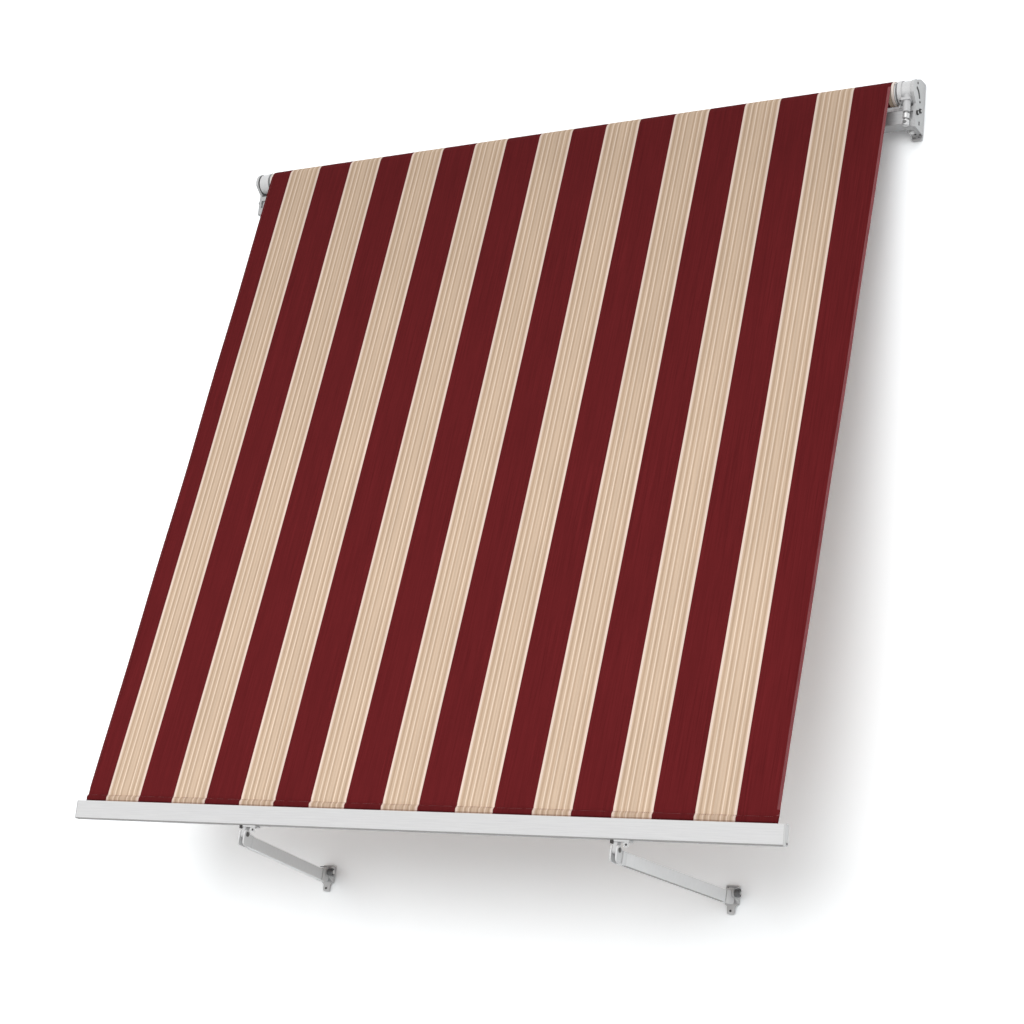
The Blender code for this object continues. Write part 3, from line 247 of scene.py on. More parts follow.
wear_and_shade = bpy.data.node_groups.new("worn_and_shaded_finish", "ShaderNodeTree")
group_socket(wear_and_shade, "Base", "INPUT", "NodeSocketColor", (0.6, 0.6, 0.6, 1.0))
group_socket(wear_and_shade, "Edge", "INPUT", "NodeSocketColor", (0.8, 0.8, 0.8, 1.0))
group_socket(wear_and_shade, "Hollow Shade", "INPUT", "NodeSocketColor", (0.2, 0.2, 0.2, 1.0))
group_socket(wear_and_shade, "Grain", "INPUT", "NodeSocketVector", (1.0, 1.0, 1.0))
group_socket(wear_and_shade, "Grain Scale", "INPUT", "NodeSocketFloat", 500.0)
group_socket(wear_and_shade, "Mottle", "INPUT", "NodeSocketFloat", 0.06)
group_socket(wear_and_shade, "Smoothness", "INPUT", "NodeSocketFloat", 0.45)
group_socket(wear_and_shade, "Colour", "OUTPUT", "NodeSocketColor")
group_socket(wear_and_shade, "Roughness", "OUTPUT", "NodeSocketFloat")
group_socket(wear_and_shade, "Height", "OUTPUT", "NodeSocketFloat")
wear_in = wear_and_shade.nodes.new("NodeGroupInput")
wear_out = wear_and_shade.nodes.new("NodeGroupOutput")
wear_where = wear_and_shade.nodes.new("ShaderNodeTexCoord").outputs["Object"]
grain_place = wear_and_shade.nodes.new("ShaderNodeVectorMath")
grain_place.operation = "MULTIPLY"
link(wear_and_shade, wear_where, grain_place.inputs[0])
link(wear_and_shade, wear_in.outputs["Grain"], grain_place.inputs[1])
grain = wear_and_shade.nodes.new("ShaderNodeTexNoise")
grain.inputs["Detail"].default_value = 3.0
link(wear_and_shade, grain_place.outputs["Vector"], grain.inputs["Vector"])
link(wear_and_shade, wear_in.outputs["Grain Scale"], grain.inputs["Scale"])
patches = stretched_noise(wear_and_shade, wear_where, (1.0, 1.0, 1.0), 28.0, 3.0, 0.6)
bend = wear_and_shade.nodes.new("ShaderNodeNewGeometry").outputs["Pointiness"]
edge_mask = ramp(wear_and_shade, bend, [(0.52, (0.0, 0.0, 0.0, 1.0)), (0.62, (1.0, 1.0, 1.0, 1.0))])
edge_mask = maths(wear_and_shade, "MULTIPLY", edge_mask, maths(wear_and_shade, "MULTIPLY", grain.outputs["Fac"], 1.1))
# Painted shade: ambient occlusion finds the hollows, and the colour there is darkened towards the Hollow
# Shade colour
hollow = wear_and_shade.nodes.new("ShaderNodeAmbientOcclusion")
hollow.inputs["Distance"].default_value = 0.006
hollow.samples = 4
hollow_shade_mask = maths(wear_and_shade, "MULTIPLY",
                    maths(wear_and_shade, "POWER", maths(wear_and_shade, "SUBTRACT", 1.0, hollow.outputs["AO"]), 1.5),
                    0.55)
mottle = maths(wear_and_shade, "ADD", 1.0,
               maths(wear_and_shade, "MULTIPLY",
                     maths(wear_and_shade, "SUBTRACT",
                           maths(wear_and_shade, "ADD", maths(wear_and_shade, "MULTIPLY", patches, 0.6),
                                 maths(wear_and_shade, "MULTIPLY", grain.outputs["Fac"], 0.4)), 0.5),
                     maths(wear_and_shade, "MULTIPLY", wear_in.outputs["Mottle"], 2.0)))
worn_and_shaded = mixed(wear_and_shade, "MULTIPLY", 1.0, wear_in.outputs["Base"], mottle)
worn_and_shaded = mixed(wear_and_shade, "MIX", edge_mask, worn_and_shaded, wear_in.outputs["Edge"])
worn_and_shaded = mixed(wear_and_shade, "MIX", hollow_shade_mask, worn_and_shaded, wear_in.outputs["Hollow Shade"])
link(wear_and_shade, worn_and_shaded, wear_out.inputs["Colour"])
worn_rough = maths(wear_and_shade, "ADD", wear_in.outputs["Smoothness"],
                   maths(wear_and_shade, "MULTIPLY", maths(wear_and_shade, "SUBTRACT", patches, 0.5), 0.18))
worn_rough = maths(wear_and_shade, "ADD", worn_rough, maths(wear_and_shade, "MULTIPLY", hollow_shade_mask, 0.3))
link(wear_and_shade, worn_rough, wear_out.inputs["Roughness"])
link(wear_and_shade, grain.outputs["Fac"], wear_out.inputs["Height"])


def finish(name, base, edge, hollow_shade, metallic, smoothness, grain_way=(1.0, 1.0, 1.0), grain_scale=500.0,
           mottle_share=0.06, bump_depth=0.0001):
    """A worn metal or plastic finish from the shared group, with painted shade in its hollows."""
    material, tree, output = new_material(name)
    group = tree.nodes.new("ShaderNodeGroup")
    group.node_tree = wear_and_shade
    group.inputs["Base"].default_value = base
    group.inputs["Edge"].default_value = edge
    group.inputs["Hollow Shade"].default_value = hollow_shade
    group.inputs["Grain"].default_value = grain_way
    group.inputs["Grain Scale"].default_value = grain_scale
    group.inputs["Mottle"].default_value = mottle_share
    group.inputs["Smoothness"].default_value = smoothness
    bump = tree.nodes.new("ShaderNodeBump")
    bump.inputs["Strength"].default_value = 0.4
    bump.inputs["Distance"].default_value = bump_depth
    link(tree, group.outputs["Height"], bump.inputs["Height"])
    surface = tree.nodes.new("ShaderNodeBsdfPrincipled")
    surface.inputs["Metallic"].default_value = metallic
    link(tree, group.outputs["Colour"], surface.inputs["Base Color"])
    link(tree, group.outputs["Roughness"], surface.inputs["Roughness"])
    link(tree, bump.outputs["Normal"], surface.inputs["Normal"])
    link(tree, surface.outputs["BSDF"], output.inputs["Surface"])
    return material


coated_casting = finish("grey_coated_casting", linear(200, 200, 201), linear(228, 228, 228),
                        linear(70, 68, 66), 0.05, 0.46, grain_scale=420.0, mottle_share=0.04,
                        bump_depth=0.00015)
# Painted shade: the end brackets take a darker copy of the casting grey, for the shade on their outward
# faces
shaded_bracket_casting = finish("shaded_bracket_casting", linear(174, 174, 175), linear(218, 218, 218),
                         linear(60, 58, 56), 0.08, 0.46, grain_scale=420.0, mottle_share=0.05,
                         bump_depth=0.00018)
zinc_plate = finish("zinc_plate", linear(196, 196, 196), linear(232, 232, 232), linear(44, 42, 40),
                    0.45, 0.34, grain_scale=600.0, mottle_share=0.10)
black_rubber = finish("black_rubber", linear(38, 36, 36), linear(58, 56, 55), linear(18, 17, 17), 0.0, 0.62,
                      grain_scale=900.0, mottle_share=0.10)


def dress(names, material, rounding=0.0004):
    """Gives pieces of the frame their finish, and takes the sharpness off their edges."""
    for name in names:
        piece = nodes[name]
        for place in range(len(piece.data.materials)):
            piece.data.materials[place] = material
        bevel = piece.modifiers.new("worn_edges", "BEVEL")
        bevel.width = rounding
        bevel.segments = 2
        bevel.limit_method = "ANGLE"
        bevel.angle_limit = radians(35.0)
        bevel.harden_normals = True
        bevel.use_clamp_overlap = True


def finished(name, bm, material, smooth_angle=40.0):
    """Turns a bmesh into a linked object with one material and soft edges below an angle."""
    bmesh.ops.recalc_face_normals(bm, faces=bm.faces)
    mesh = bpy.data.meshes.new(name)
    bm.to_mesh(mesh)
    bm.free()
    mesh.shade_smooth()
    mesh.set_sharp_from_angle(angle=radians(smooth_angle))
    mesh.materials.append(material)
    piece = bpy.data.objects.new(name, mesh)
    scene.collection.objects.link(piece)
    return piece


def turned(name, profile, place, facing, material, body, open_ring=False, sides=36):
    """A turned piece from an outline of (radius, height) rings, with its foot at a place and facing a
    way. A ring marked "hex" is a hexagon; an open ring's outline closes on itself round a hole."""
    bm = bmesh.new()
    way = Vector(facing).to_track_quat("Z", "Y")
    rings = []
    for radius, height, *mark in profile:
        ring = []
        for k in range(sides if radius > 0.0 else 1):
            angle = 2 * pi * k / sides
            reach = radius
            if mark:
                reach = radius * cos(pi / 6) / cos((angle + pi / 6) % (pi / 3) - pi / 6)
            spot = Vector((reach * cos(angle), reach * sin(angle), height))
            ring.append(bm.verts.new(Vector(place) + way @ spot))
        rings.append(ring)
    pairs = list(zip(rings, rings[1:]))
    if open_ring:
        pairs.append((rings[-1], rings[0]))
    for first, second in pairs:
        for k in range(sides):
            corners = (first[k % len(first)], first[(k + 1) % len(first)],
                       second[(k + 1) % len(second)], second[k % len(second)])
            corners = list(dict.fromkeys(corners))
            if len(corners) > 2:
                bm.faces.new(corners)
    if not open_ring:
        for ring in (rings[0], rings[-1]):
            if len(ring) > 1:
                bm.faces.new(ring)
    piece = finished(name, bm, material, 35.0)
    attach(piece, body)
    return piece


def socket_screw(name, place, facing, radius, height, body):
    """A domed screw head with a hexagon socket."""
    socket = 0.5 * radius
    outline = [(radius, 0.0), (radius, 0.30 * height), (0.93 * radius, 0.68 * height),
               (0.80 * radius, 0.92 * height), (0.66 * radius, height), (socket, height, "hex"),
               (0.97 * socket, 0.35 * height, "hex")]
    return turned(name, outline, place, facing, zinc_plate, body)


def close_prism(bm, first, second):
    """The sides and both ends of a prism between two rings of vertices."""
    count = len(first)
    for k in range(count):
        bm.faces.new((first[k], first[(k + 1) % count], second[(k + 1) % count], second[k]))
    for ring in (first, second):
        bm.faces.new(ring)


def extruded(name, outline, start, depth, material, body, along="x"):
    """A flat outline pushed out to a depth: (y, z) pairs along x, or (x, z) pairs along y."""
    bm = bmesh.new()
    rings = []
    for reach in (start, start + depth):
        if along == "x":
            rings.append([bm.verts.new((reach, first, second)) for first, second in outline])
        else:
            rings.append([bm.verts.new((first, reach, second)) for first, second in outline])
    close_prism(bm, *rings)
    piece = finished(name, bm, material, 35.0)
    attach(piece, body)
    return piece


def rounded_outline(low, high, radius, arc_steps=5):
    """A rectangle with round corners as a list of points."""
    points = []
    for corner, (way_x, way_y) in enumerate(((1, 1), (-1, 1), (-1, -1), (1, -1))):
        middle = ((high[0] - radius) if way_x > 0 else (low[0] + radius),
                  (high[1] - radius) if way_y > 0 else (low[1] + radius))
        for k in range(arc_steps + 1):
            angle = 0.5 * pi * (corner + k / arc_steps)
            points.append((middle[0] + radius * cos(angle), middle[1] + radius * sin(angle)))
    return points


def bent_outline(middle, radius, width, start, end):
    """A curved slot's outline between two angles."""
    arc_steps = 16
    points = []
    for reach, order in ((radius + width / 2, range(arc_steps + 1)),
                         (radius - width / 2, range(arc_steps, -1, -1))):
        for k in order:
            angle = radians(start + (end - start) * k / arc_steps)
            points.append((middle[0] + reach * cos(angle), middle[1] + reach * sin(angle)))
    return points


dress(("end_bracket_left", "end_bracket_right"), shaded_bracket_casting, 0.0008)
dress(("lock_bolt_left", "lock_bolt_right"), zinc_plate)
roller_y, roller_z = -0.061, 0.064
web_spots = ((-0.0553, 0.0070), (-0.0354, 0.0205))
slot_shade_radius, slot_shade_depth = 0.0030, 0.0088
slot_shade_circle = [(slot_shade_radius * cos(pi * k / 8), slot_shade_radius * sin(pi * k / 8)) for k in range(16)]
slot_shade_outlines = {
    "curved": bent_outline((-0.068, 0.048), 0.025, 0.0054, 10.0, 84.0),
    "upper": [(-0.0595 + y, 0.0877 + z) for y, z in slot_shade_circle],
    "lower": [(-0.0385 + y, 0.0440 + z) for y, z in slot_shade_circle],
    "short": rounded_outline((-0.0387, -0.0197), (-0.0353, -0.0093), 0.0016),
}
for side, web_face, gap_start, slot_shade_start, facing in (("left", -0.018, -0.00995, -0.0192, -1.0),
                                                      ("right", 2.036, 2.02775, 2.0284, 1.0)):
    # Painted shade: a thin black disc in the gap behind the bearing and black fills in the web's slots
    # stand for the shade there
    shade_disc = [(0.0105, 0.0), (0.0284, 0.0), (0.0284, 0.0002), (0.0105, 0.0002)]
    turned("bearing_shade_disc_" + side, shade_disc, (gap_start, roller_y, roller_z), (1.0, 0.0, 0.0),
           black_rubber, "frame", open_ring=True)
    for place, outline in slot_shade_outlines.items():
        extruded("slot_shade_fill_%s_%s" % (place, side), outline, slot_shade_start, slot_shade_depth, black_rubber,
                 "frame")
    for number, (y, z) in enumerate(web_spots, 1):
        # Painted shade: a black ring round each screw head stands for the shade in its recess
        shade_ring = [(0.0036, 0.0), (0.0058, 0.0), (0.0062, 0.0004), (0.0062, 0.0036), (0.0056, 0.0042),
                (0.0036, 0.0042)]
        turned("web_screw_shade_ring_%s_%d" % (side, number), shade_ring, (web_face, y, z), (facing, 0.0, 0.0),
               black_rubber, "frame", open_ring=True)
        socket_screw("web_screw_%s_%d" % (side, number), (web_face, y, z), (facing, 0.0, 0.0), 0.0033,
                     0.0050, "frame")
    for number, (inset, y) in enumerate(((0.0046, -0.0111), (0.0155, -0.0160)), 1):
        turned("jaw_screw_%s_%d" % (side, number),
               [(0.0030, 0.0), (0.0030, 0.0006), (0.0016, 0.0006, "hex"), (0.0015, 0.0001, "hex")],
               (web_face - facing * inset, y, -0.0333), (0.0, 0.0, -1.0), black_rubber, "frame")


# Support bar. A square steel tube, hot-dip galvanised, that runs behind the cloth from bracket to
# bracket and carries the whole awning.
galvanised = finish("galvanised_steel", linear(182, 184, 186), linear(214, 214, 214), linear(70, 66, 63),
                    0.35, 0.45, (0.15, 1.0, 1.0), 260.0, 0.10)
dress(("support_bar",), galvanised, 0.0012)


# Left bearing. A cast drum on the bracket's web with a collar over its mouth, and a bronze bush in
# which the roller's shaft turns.
bronze = finish("gear_bronze", linear(176, 140, 84), linear(222, 190, 130), linear(60, 44, 26), 0.9, 0.38,
                grain_scale=500.0, mottle_share=0.10)
dress(("left_bearing", "bearing_cover"), coated_casting, 0.0006)
dress(("bearing_bush_left",), bronze)


# Winch. The same drum and collar at the right end, with a worm on the crank's spindle below and a
# bronze wheel on the roller's shaft. Two grub screws set the collar at each end.
dress(("winch_housing", "winch_cover"), coated_casting, 0.0006)
dress(("worm_spindle", "crank_eye"), zinc_plate)
dress(("worm_wheel", "bearing_bush_right"), bronze)
collar_radius = 0.03115
for side, x in (("left", 0.0205), ("right", 1.9975)):
    for number, angle in enumerate((radians(62.0), radians(-118.0)), 1):
        way = Vector((0.0, -cos(angle), -sin(angle)))
        turned("collar_screw_%s_%d" % (side, number),
               [(0.0024, 0.0), (0.0024, 0.0006), (0.0013, 0.0006, "hex"), (0.0012, 0.0001, "hex")],
               Vector((x, roller_y, roller_z)) + way * collar_radius, way, black_rubber, "frame")


# Roller. A grooved galvanised tube with a grey plastic plug and flange in each end, and a pale
# plastic ring on the tube beside the cloth's edge.
plain_plastic = finish("moulded_grey_plastic", linear(206, 206, 206), linear(222, 222, 222),
                       linear(90, 88, 86), 0.0, 0.48, grain_scale=900.0, mottle_share=0.03)
cream_plastic = finish("cream_plastic", linear(228, 214, 203), linear(238, 228, 220),
                       linear(120, 98, 84), 0.0, 0.50, grain_scale=900.0, mottle_share=0.04)
dress(("roller_tube",), galvanised)
dress(("roller_plug_left", "roller_plug_right"), plain_plastic)
plug_radius = 0.0288
plug_screw_angle = radians(-27.0)
for side, x in (("left", 0.0325), ("right", 1.9855)):
    way = Vector((0.0, -cos(plug_screw_angle), -sin(plug_screw_angle)))
    turned("plug_screw_" + side,
           [(0.0012, 0.0), (0.0012, 0.0006), (0.0006, 0.0006, "hex"), (0.0006, 0.0003, "hex")],
           Vector((x, roller_y, roller_z)) + way * plug_radius, way, black_rubber, "roller")
for side, start in (("left", 0.0345), ("right", 1.9764)):
    ring = [(0.0291, 0.0), (0.0308, 0.0), (0.0316, 0.0008), (0.0316, 0.0063), (0.0308, 0.0071),
            (0.0291, 0.0071)]
    turned("tube_ring_" + side, ring, (start, roller_y, roller_z), (1.0, 0.0, 0.0), cream_plastic,
           "roller", open_ring=True, sides=64)


# Cloth. Solution-dyed acrylic, woven in broad burgundy and beige stripes; each beige stripe has a
# cream border at both sides and thin cream and brown pinstripes, which are symmetrical about its middle.
burgundy = linear(99, 29, 32)
cloth_base = linear(207, 182, 158)
cloth_brown = linear(189, 162, 138)
cloth_thin = linear(211, 187, 164)
cloth_cream = linear(232, 211, 191)
cloth_border = linear(232, 211, 196)

striping = bpy.data.node_groups.new("striped_weave", "ShaderNodeTree")
group_socket(striping, "Shade", "INPUT", "NodeSocketColor", (1.0, 1.0, 1.0, 1.0))
group_socket(striping, "Colour", "OUTPUT", "NodeSocketColor")
group_socket(striping, "Roughness", "OUTPUT", "NodeSocketFloat")
group_socket(striping, "Weave", "OUTPUT", "NodeSocketFloat")
group_in = striping.nodes.new("NodeGroupInput")
group_out = striping.nodes.new("NodeGroupOutput")
where = striping.nodes.new("ShaderNodeTexCoord").outputs["Object"]
parts = striping.nodes.new("ShaderNodeSeparateXYZ")
link(striping, where, parts.inputs["Vector"])
# Stripes are counted from the first edge of a beige one, and narrow by a few per cent to the right
first_stripe_edge, cloth_middle = 0.1053, 0.9536
stripes_per_metre, narrowing = 9.4306, 0.1862
repeat_width, beige_middle, half_reach = 208.0, 52.9, 60.0
wander = stretched_noise(striping, where, (6.0, 1.0, 1.0), 4.0)
across = maths(striping, "ADD", parts.outputs["X"],
               maths(striping, "MULTIPLY", maths(striping, "SUBTRACT", wander, 0.5), 0.0012))
pace = maths(striping, "ADD", stripes_per_metre,
             maths(striping, "MULTIPLY", maths(striping, "SUBTRACT", across, cloth_middle), narrowing))
counted = maths(striping, "MULTIPLY", maths(striping, "SUBTRACT", across, first_stripe_edge), pace)
repeat = maths(striping, "FRACT", maths(striping, "MULTIPLY", counted, 0.5))
place = maths(striping, "MULTIPLY", repeat, repeat_width)
from_middle = maths(striping, "ABSOLUTE", maths(striping, "SUBTRACT", place, beige_middle))
off_middle = maths(striping, "DIVIDE", from_middle, half_reach)
pinstripes = [(0.0, cloth_base), (1.4, cloth_base), (2.2, cloth_thin), (5.2, cloth_thin),
              (6.4, cloth_base), (9.0, cloth_brown), (10.6, cloth_brown), (11.6, cloth_base),
              (12.9, cloth_base), (13.3, cloth_cream), (15.6, cloth_cream), (16.0, cloth_base),
              (20.0, cloth_base), (23.0, cloth_brown), (25.2, cloth_brown), (26.2, cloth_base),
              (28.0, cloth_base), (28.4, cloth_cream), (30.7, cloth_cream), (31.1, cloth_base),
              (35.2, cloth_base), (38.0, cloth_brown), (40.6, cloth_brown), (42.6, cloth_base),
              (44.6, cloth_base), (45.0, cloth_border), (50.9, cloth_border), (51.5, burgundy)]
striped = ramp(striping, off_middle, [(mm / half_reach, colour) for mm, colour in pinstripes])
threads = stretched_noise(striping, where, (1.0, 0.012, 0.012), 620.0, 2.0, 0.6)
bands = stretched_noise(striping, where, (1.0, 0.02, 0.02), 120.0, 2.0, 0.5)
clouds = stretched_noise(striping, where, (1.0, 0.5, 0.5), 5.0, 3.0, 0.5)
shade = maths(striping, "ADD", 1.0,
              maths(striping, "MULTIPLY", maths(striping, "SUBTRACT", threads, 0.5), 0.42))
shade = maths(striping, "ADD", shade,
              maths(striping, "MULTIPLY", maths(striping, "SUBTRACT", bands, 0.5), 0.20))
shade = maths(striping, "ADD", shade,
              maths(striping, "MULTIPLY", maths(striping, "SUBTRACT", clouds, 0.5), 0.10))
shaded = mixed(striping, "MULTIPLY", 1.0, striped, shade)
# The burgundy yarn varies a little more than the beige
is_burgundy = maths(striping, "GREATER_THAN", off_middle, 51.2 / half_reach)
slub = stretched_noise(striping, where, (1.0, 0.03, 0.03), 260.0, 2.0, 0.6)
play = maths(striping, "MULTIPLY", maths(striping, "SUBTRACT", slub, 0.5), 0.55)
play = maths(striping, "MULTIPLY", play, is_burgundy)
shaded = mixed(striping, "MULTIPLY", 1.0, shaded, maths(striping, "ADD", play, 1.0))
# Painted light and shade: the cloth is darker towards the top and lighter towards the bottom, as the light
# on it grows down the sheet
height = maths(striping, "ADD", 1.0, maths(striping, "DIVIDE", parts.outputs["Z"], 1.9))
height = maths(striping, "MINIMUM", maths(striping, "MAXIMUM", height, 0.0), 1.0)
painted_top_shade = maths(striping, "MULTIPLY", maths(striping, "MULTIPLY", height, height), 0.28)
top_shaded = mixed(striping, "MULTIPLY", 1.0, shaded, maths(striping, "SUBTRACT", 1.15, painted_top_shade))
tinted = mixed(striping, "MULTIPLY", 1.0, top_shaded, group_in.outputs["Shade"])
link(striping, tinted, group_out.inputs["Colour"])
rough = maths(striping, "ADD", 0.82, maths(striping, "MULTIPLY", threads, 0.12))
link(striping, rough, group_out.inputs["Roughness"])
picks = stretched_noise(striping, where, (1.0, 1.0, 1.0), 1100.0, 1.0, 0.5)
weave = maths(striping, "ADD", maths(striping, "MULTIPLY", threads, 0.6),
              maths(striping, "MULTIPLY", picks, 0.4))
link(striping, weave, group_out.inputs["Weave"])


def cloth_material(name, shade, depth):
    """Striped cloth darkened by a factor of its own, which paints shade on the pocket and its fold, with
    the weave's depth in metres.
    """
    material, tree, output = new_material(name)
    weave_group = tree.nodes.new("ShaderNodeGroup")
    weave_group.node_tree = striping
    weave_group.inputs["Shade"].default_value = shade
    bump = tree.nodes.new("ShaderNodeBump")
    bump.inputs["Strength"].default_value = 0.5
    bump.inputs["Distance"].default_value = depth
    link(tree, weave_group.outputs["Weave"], bump.inputs["Height"])
    surface = tree.nodes.new("ShaderNodeBsdfPrincipled")
    surface.inputs["Specular IOR Level"].default_value = 0.04
    surface.inputs["Sheen Weight"].default_value = 0.01
    surface.inputs["Sheen Roughness"].default_value = 0.5
    link(tree, weave_group.outputs["Colour"], surface.inputs["Base Color"])
    link(tree, weave_group.outputs["Roughness"], surface.inputs["Roughness"])
    link(tree, bump.outputs["Normal"], surface.inputs["Normal"])
    link(tree, surface.outputs["BSDF"], output.inputs["Surface"])
    return material


awning_cloth = cloth_material("striped_awning_cloth", (1.0, 1.0, 1.0, 1.0), 0.0003)


# Wound cloth. Two turns of the same cloth that stay on the tube, one piece of spiral with its outer
# end where the hanging sheet begins. A narrow tan lining is sewn to each edge below the roll's front.
tilt = radians(12.0)
down = Vector((0.0, -sin(tilt), -cos(tilt)))
out = Vector((0.0, -cos(tilt), sin(tilt)))
roller_axis = Vector((0.0, roller_y, roller_z))
tangent_radius = 0.0319
tangent = roller_axis + out * tangent_radius
cloth_left = 0.042
cloth_right = 1.976
cloth_thickness = 0.0008
turn_pitch = 0.0011
wound_turns = 2.0
wound_steps = 160
bm = bmesh.new()
outline = []
for inner_side in (False, True):
    arc = []
    for i in range(wound_steps + 1):
        angle = 2 * pi * wound_turns * i / wound_steps
        radius = tangent_radius - turn_pitch * angle / (2 * pi)
        radius += -cloth_thickness / 2 if inner_side else cloth_thickness / 2
        place = roller_axis + (out * cos(angle) - down * sin(angle)) * radius
        arc.append((place.y, place.z))
    outline += arc[::-1] if inner_side else arc
lining_width = 0.0095
lining_start, lining_end = 0.55, 1.05
stations = (cloth_left, cloth_left + lining_width, cloth_right - lining_width, cloth_right)
rings = [[bm.verts.new((x, y, z)) for y, z in outline] for x in stations]
count = len(outline)
for place, (first, second) in enumerate(zip(rings, rings[1:])):
    for k in range(count):
        facet = bm.faces.new((first[k], first[(k + 1) % count], second[(k + 1) % count], second[k]))
        turn_share = k / wound_steps * wound_turns
        facet.material_index = 1 if place != 1 and lining_start < turn_share < lining_end else 0
for ring in (rings[0], rings[-1]):
    for i in range(wound_steps):
        bm.faces.new((ring[i], ring[i + 1], ring[count - 2 - i], ring[count - 1 - i]))
cloth_roll = finished("cloth_roll", bm, awning_cloth)
lining, lining_tree, lining_output = new_material("edge_lining")
lining_where = lining_tree.nodes.new("ShaderNodeTexCoord").outputs["Object"]
lining_weave = stretched_noise(lining_tree, lining_where, (0.05, 1.0, 1.0), 900.0, 2.0)
lining_bump = lining_tree.nodes.new("ShaderNodeBump")
lining_bump.inputs["Strength"].default_value = 0.4
lining_bump.inputs["Distance"].default_value = 0.0002
lining_surface = lining_tree.nodes.new("ShaderNodeBsdfPrincipled")
lining_surface.inputs["Specular IOR Level"].default_value = 0.1
link(lining_tree, lining_weave, lining_bump.inputs["Height"])
lining_colour = ramp(lining_tree, lining_weave,
                     [(0.3, linear(188, 168, 146)), (0.7, linear(212, 193, 172))])
link(lining_tree, lining_colour, lining_surface.inputs["Base Color"])
link(lining_tree, maths(lining_tree, "ADD", 0.8, maths(lining_tree, "MULTIPLY", lining_weave, 0.1)),
     lining_surface.inputs["Roughness"])
link(lining_tree, lining_bump.outputs["Normal"], lining_surface.inputs["Normal"])
link(lining_tree, lining_surface.outputs["BSDF"], lining_output.inputs["Surface"])
cloth_roll.data.materials.append(lining)
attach(cloth_roll, "roller")
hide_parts("wound_cloth")


# Hanging sheet. The cloth comes off the front of the roll and hangs straight to the front bar, held
# taut by the bar's weight; it sags a little towards the wall and ripples by a millimetre or two.
sheet_length = 1.9892
bar_top = 1.979
seam_line = 1.9605
scallop_pitch = 0.037


def sheet_lift(x, s):
    """How far the hanging sheet stands off the straight plane at a place, in metres."""
    share = min(max(s / bar_top, 0.0), 1.0)
    held = sin(pi * share) ** 0.7 if 0.0 < share < 1.0 else 0.0
    sag = -0.0045 * sin(pi * share) ** 1.2 if 0.0 < share < 1.0 else 0.0
    slow = 0.0009 * sin(2 * pi * (x * 1.35 + 0.25 * s) + 0.6) + 0.0006 * sin(2 * pi * (x * 2.9 - 0.4 * s))
    edge = min(x - cloth_left, cloth_right - x)
    flutter = 0.0014 * exp(-edge / 0.06) * sin(2 * pi * s / 0.62 + (0.8 if x < 1.0 else 2.3))
    scallop = sin(2 * pi * x / scallop_pitch)
    pull = 0.0014 * exp(-((s - seam_line) / 0.004) ** 2) * (1.0 + 0.7 * scallop)
    puff = 0.0022 * exp(-((s - seam_line - 0.009) / 0.005) ** 2) * (1.0 + 0.5 * scallop)
    return sag + held * (slow + flutter) - pull + puff


def sheet_point(x, s, above=0.0):
    """A place on the sheet: x across, s down the cloth from the roll, above its middle."""
    place = tangent + down * min(s, bar_top) + out * (sheet_lift(x, s) + above)
    if s > bar_top:
        # Inside the front bar the hem hangs plumb
        place += Vector((0.0, 0.0, bar_top - s))
    return Vector((x, place.y, place.z))


def cloth_panel(name, xs, ss, material, lower, upper):
    """A closed panel of cloth over a grid of places, between two heights off the sheet's middle."""
    bm = bmesh.new()
    layers = []
    for above in (lower, upper):
        layers.append([[bm.verts.new(sheet_point(x, s, above)) for s in ss] for x in xs])
    bottom, top = layers
    columns, rows = len(xs), len(ss)
    for i in range(columns - 1):
        for j in range(rows - 1):
            bm.faces.new((top[i][j], top[i][j + 1], top[i + 1][j + 1], top[i + 1][j]))
            bm.faces.new((bottom[i][j], bottom[i + 1][j], bottom[i + 1][j + 1], bottom[i][j + 1]))
    for i in range(columns - 1):
        bm.faces.new((bottom[i][0], top[i][0], top[i + 1][0], bottom[i + 1][0]))
        bm.faces.new((bottom[i][-1], bottom[i + 1][-1], top[i + 1][-1], top[i][-1]))
    for j in range(rows - 1):
        bm.faces.new((bottom[0][j], bottom[0][j + 1], top[0][j + 1], top[0][j]))
        bm.faces.new((bottom[-1][j], top[-1][j], top[-1][j + 1], bottom[-1][j + 1]))
    return finished(name, bm, material)


def steps(start, end, count):
    """Evenly spaced places from start to end, both included."""
    return [start + (end - start) * i / count for i in range(count + 1)]


def hang(piece):
    """A piece of the hanging sheet: rides on the canopy, with a mesh of its own."""
    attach(piece, "canopy")
    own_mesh(piece)
    return piece


half_thickness = cloth_thickness / 2
sheet_columns = steps(cloth_left, cloth_right, 124)
sheet_rows = steps(0.0, 0.06, 4)[:-1] + steps(0.06, 1.93, 84) + steps(1.942, bar_top, 14) + [sheet_length]
hanging_sheet = cloth_panel("hanging_sheet", sheet_columns, sheet_rows, awning_cloth, -half_thickness,
                            half_thickness)
hang(hanging_sheet)
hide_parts("fabric_sheet")


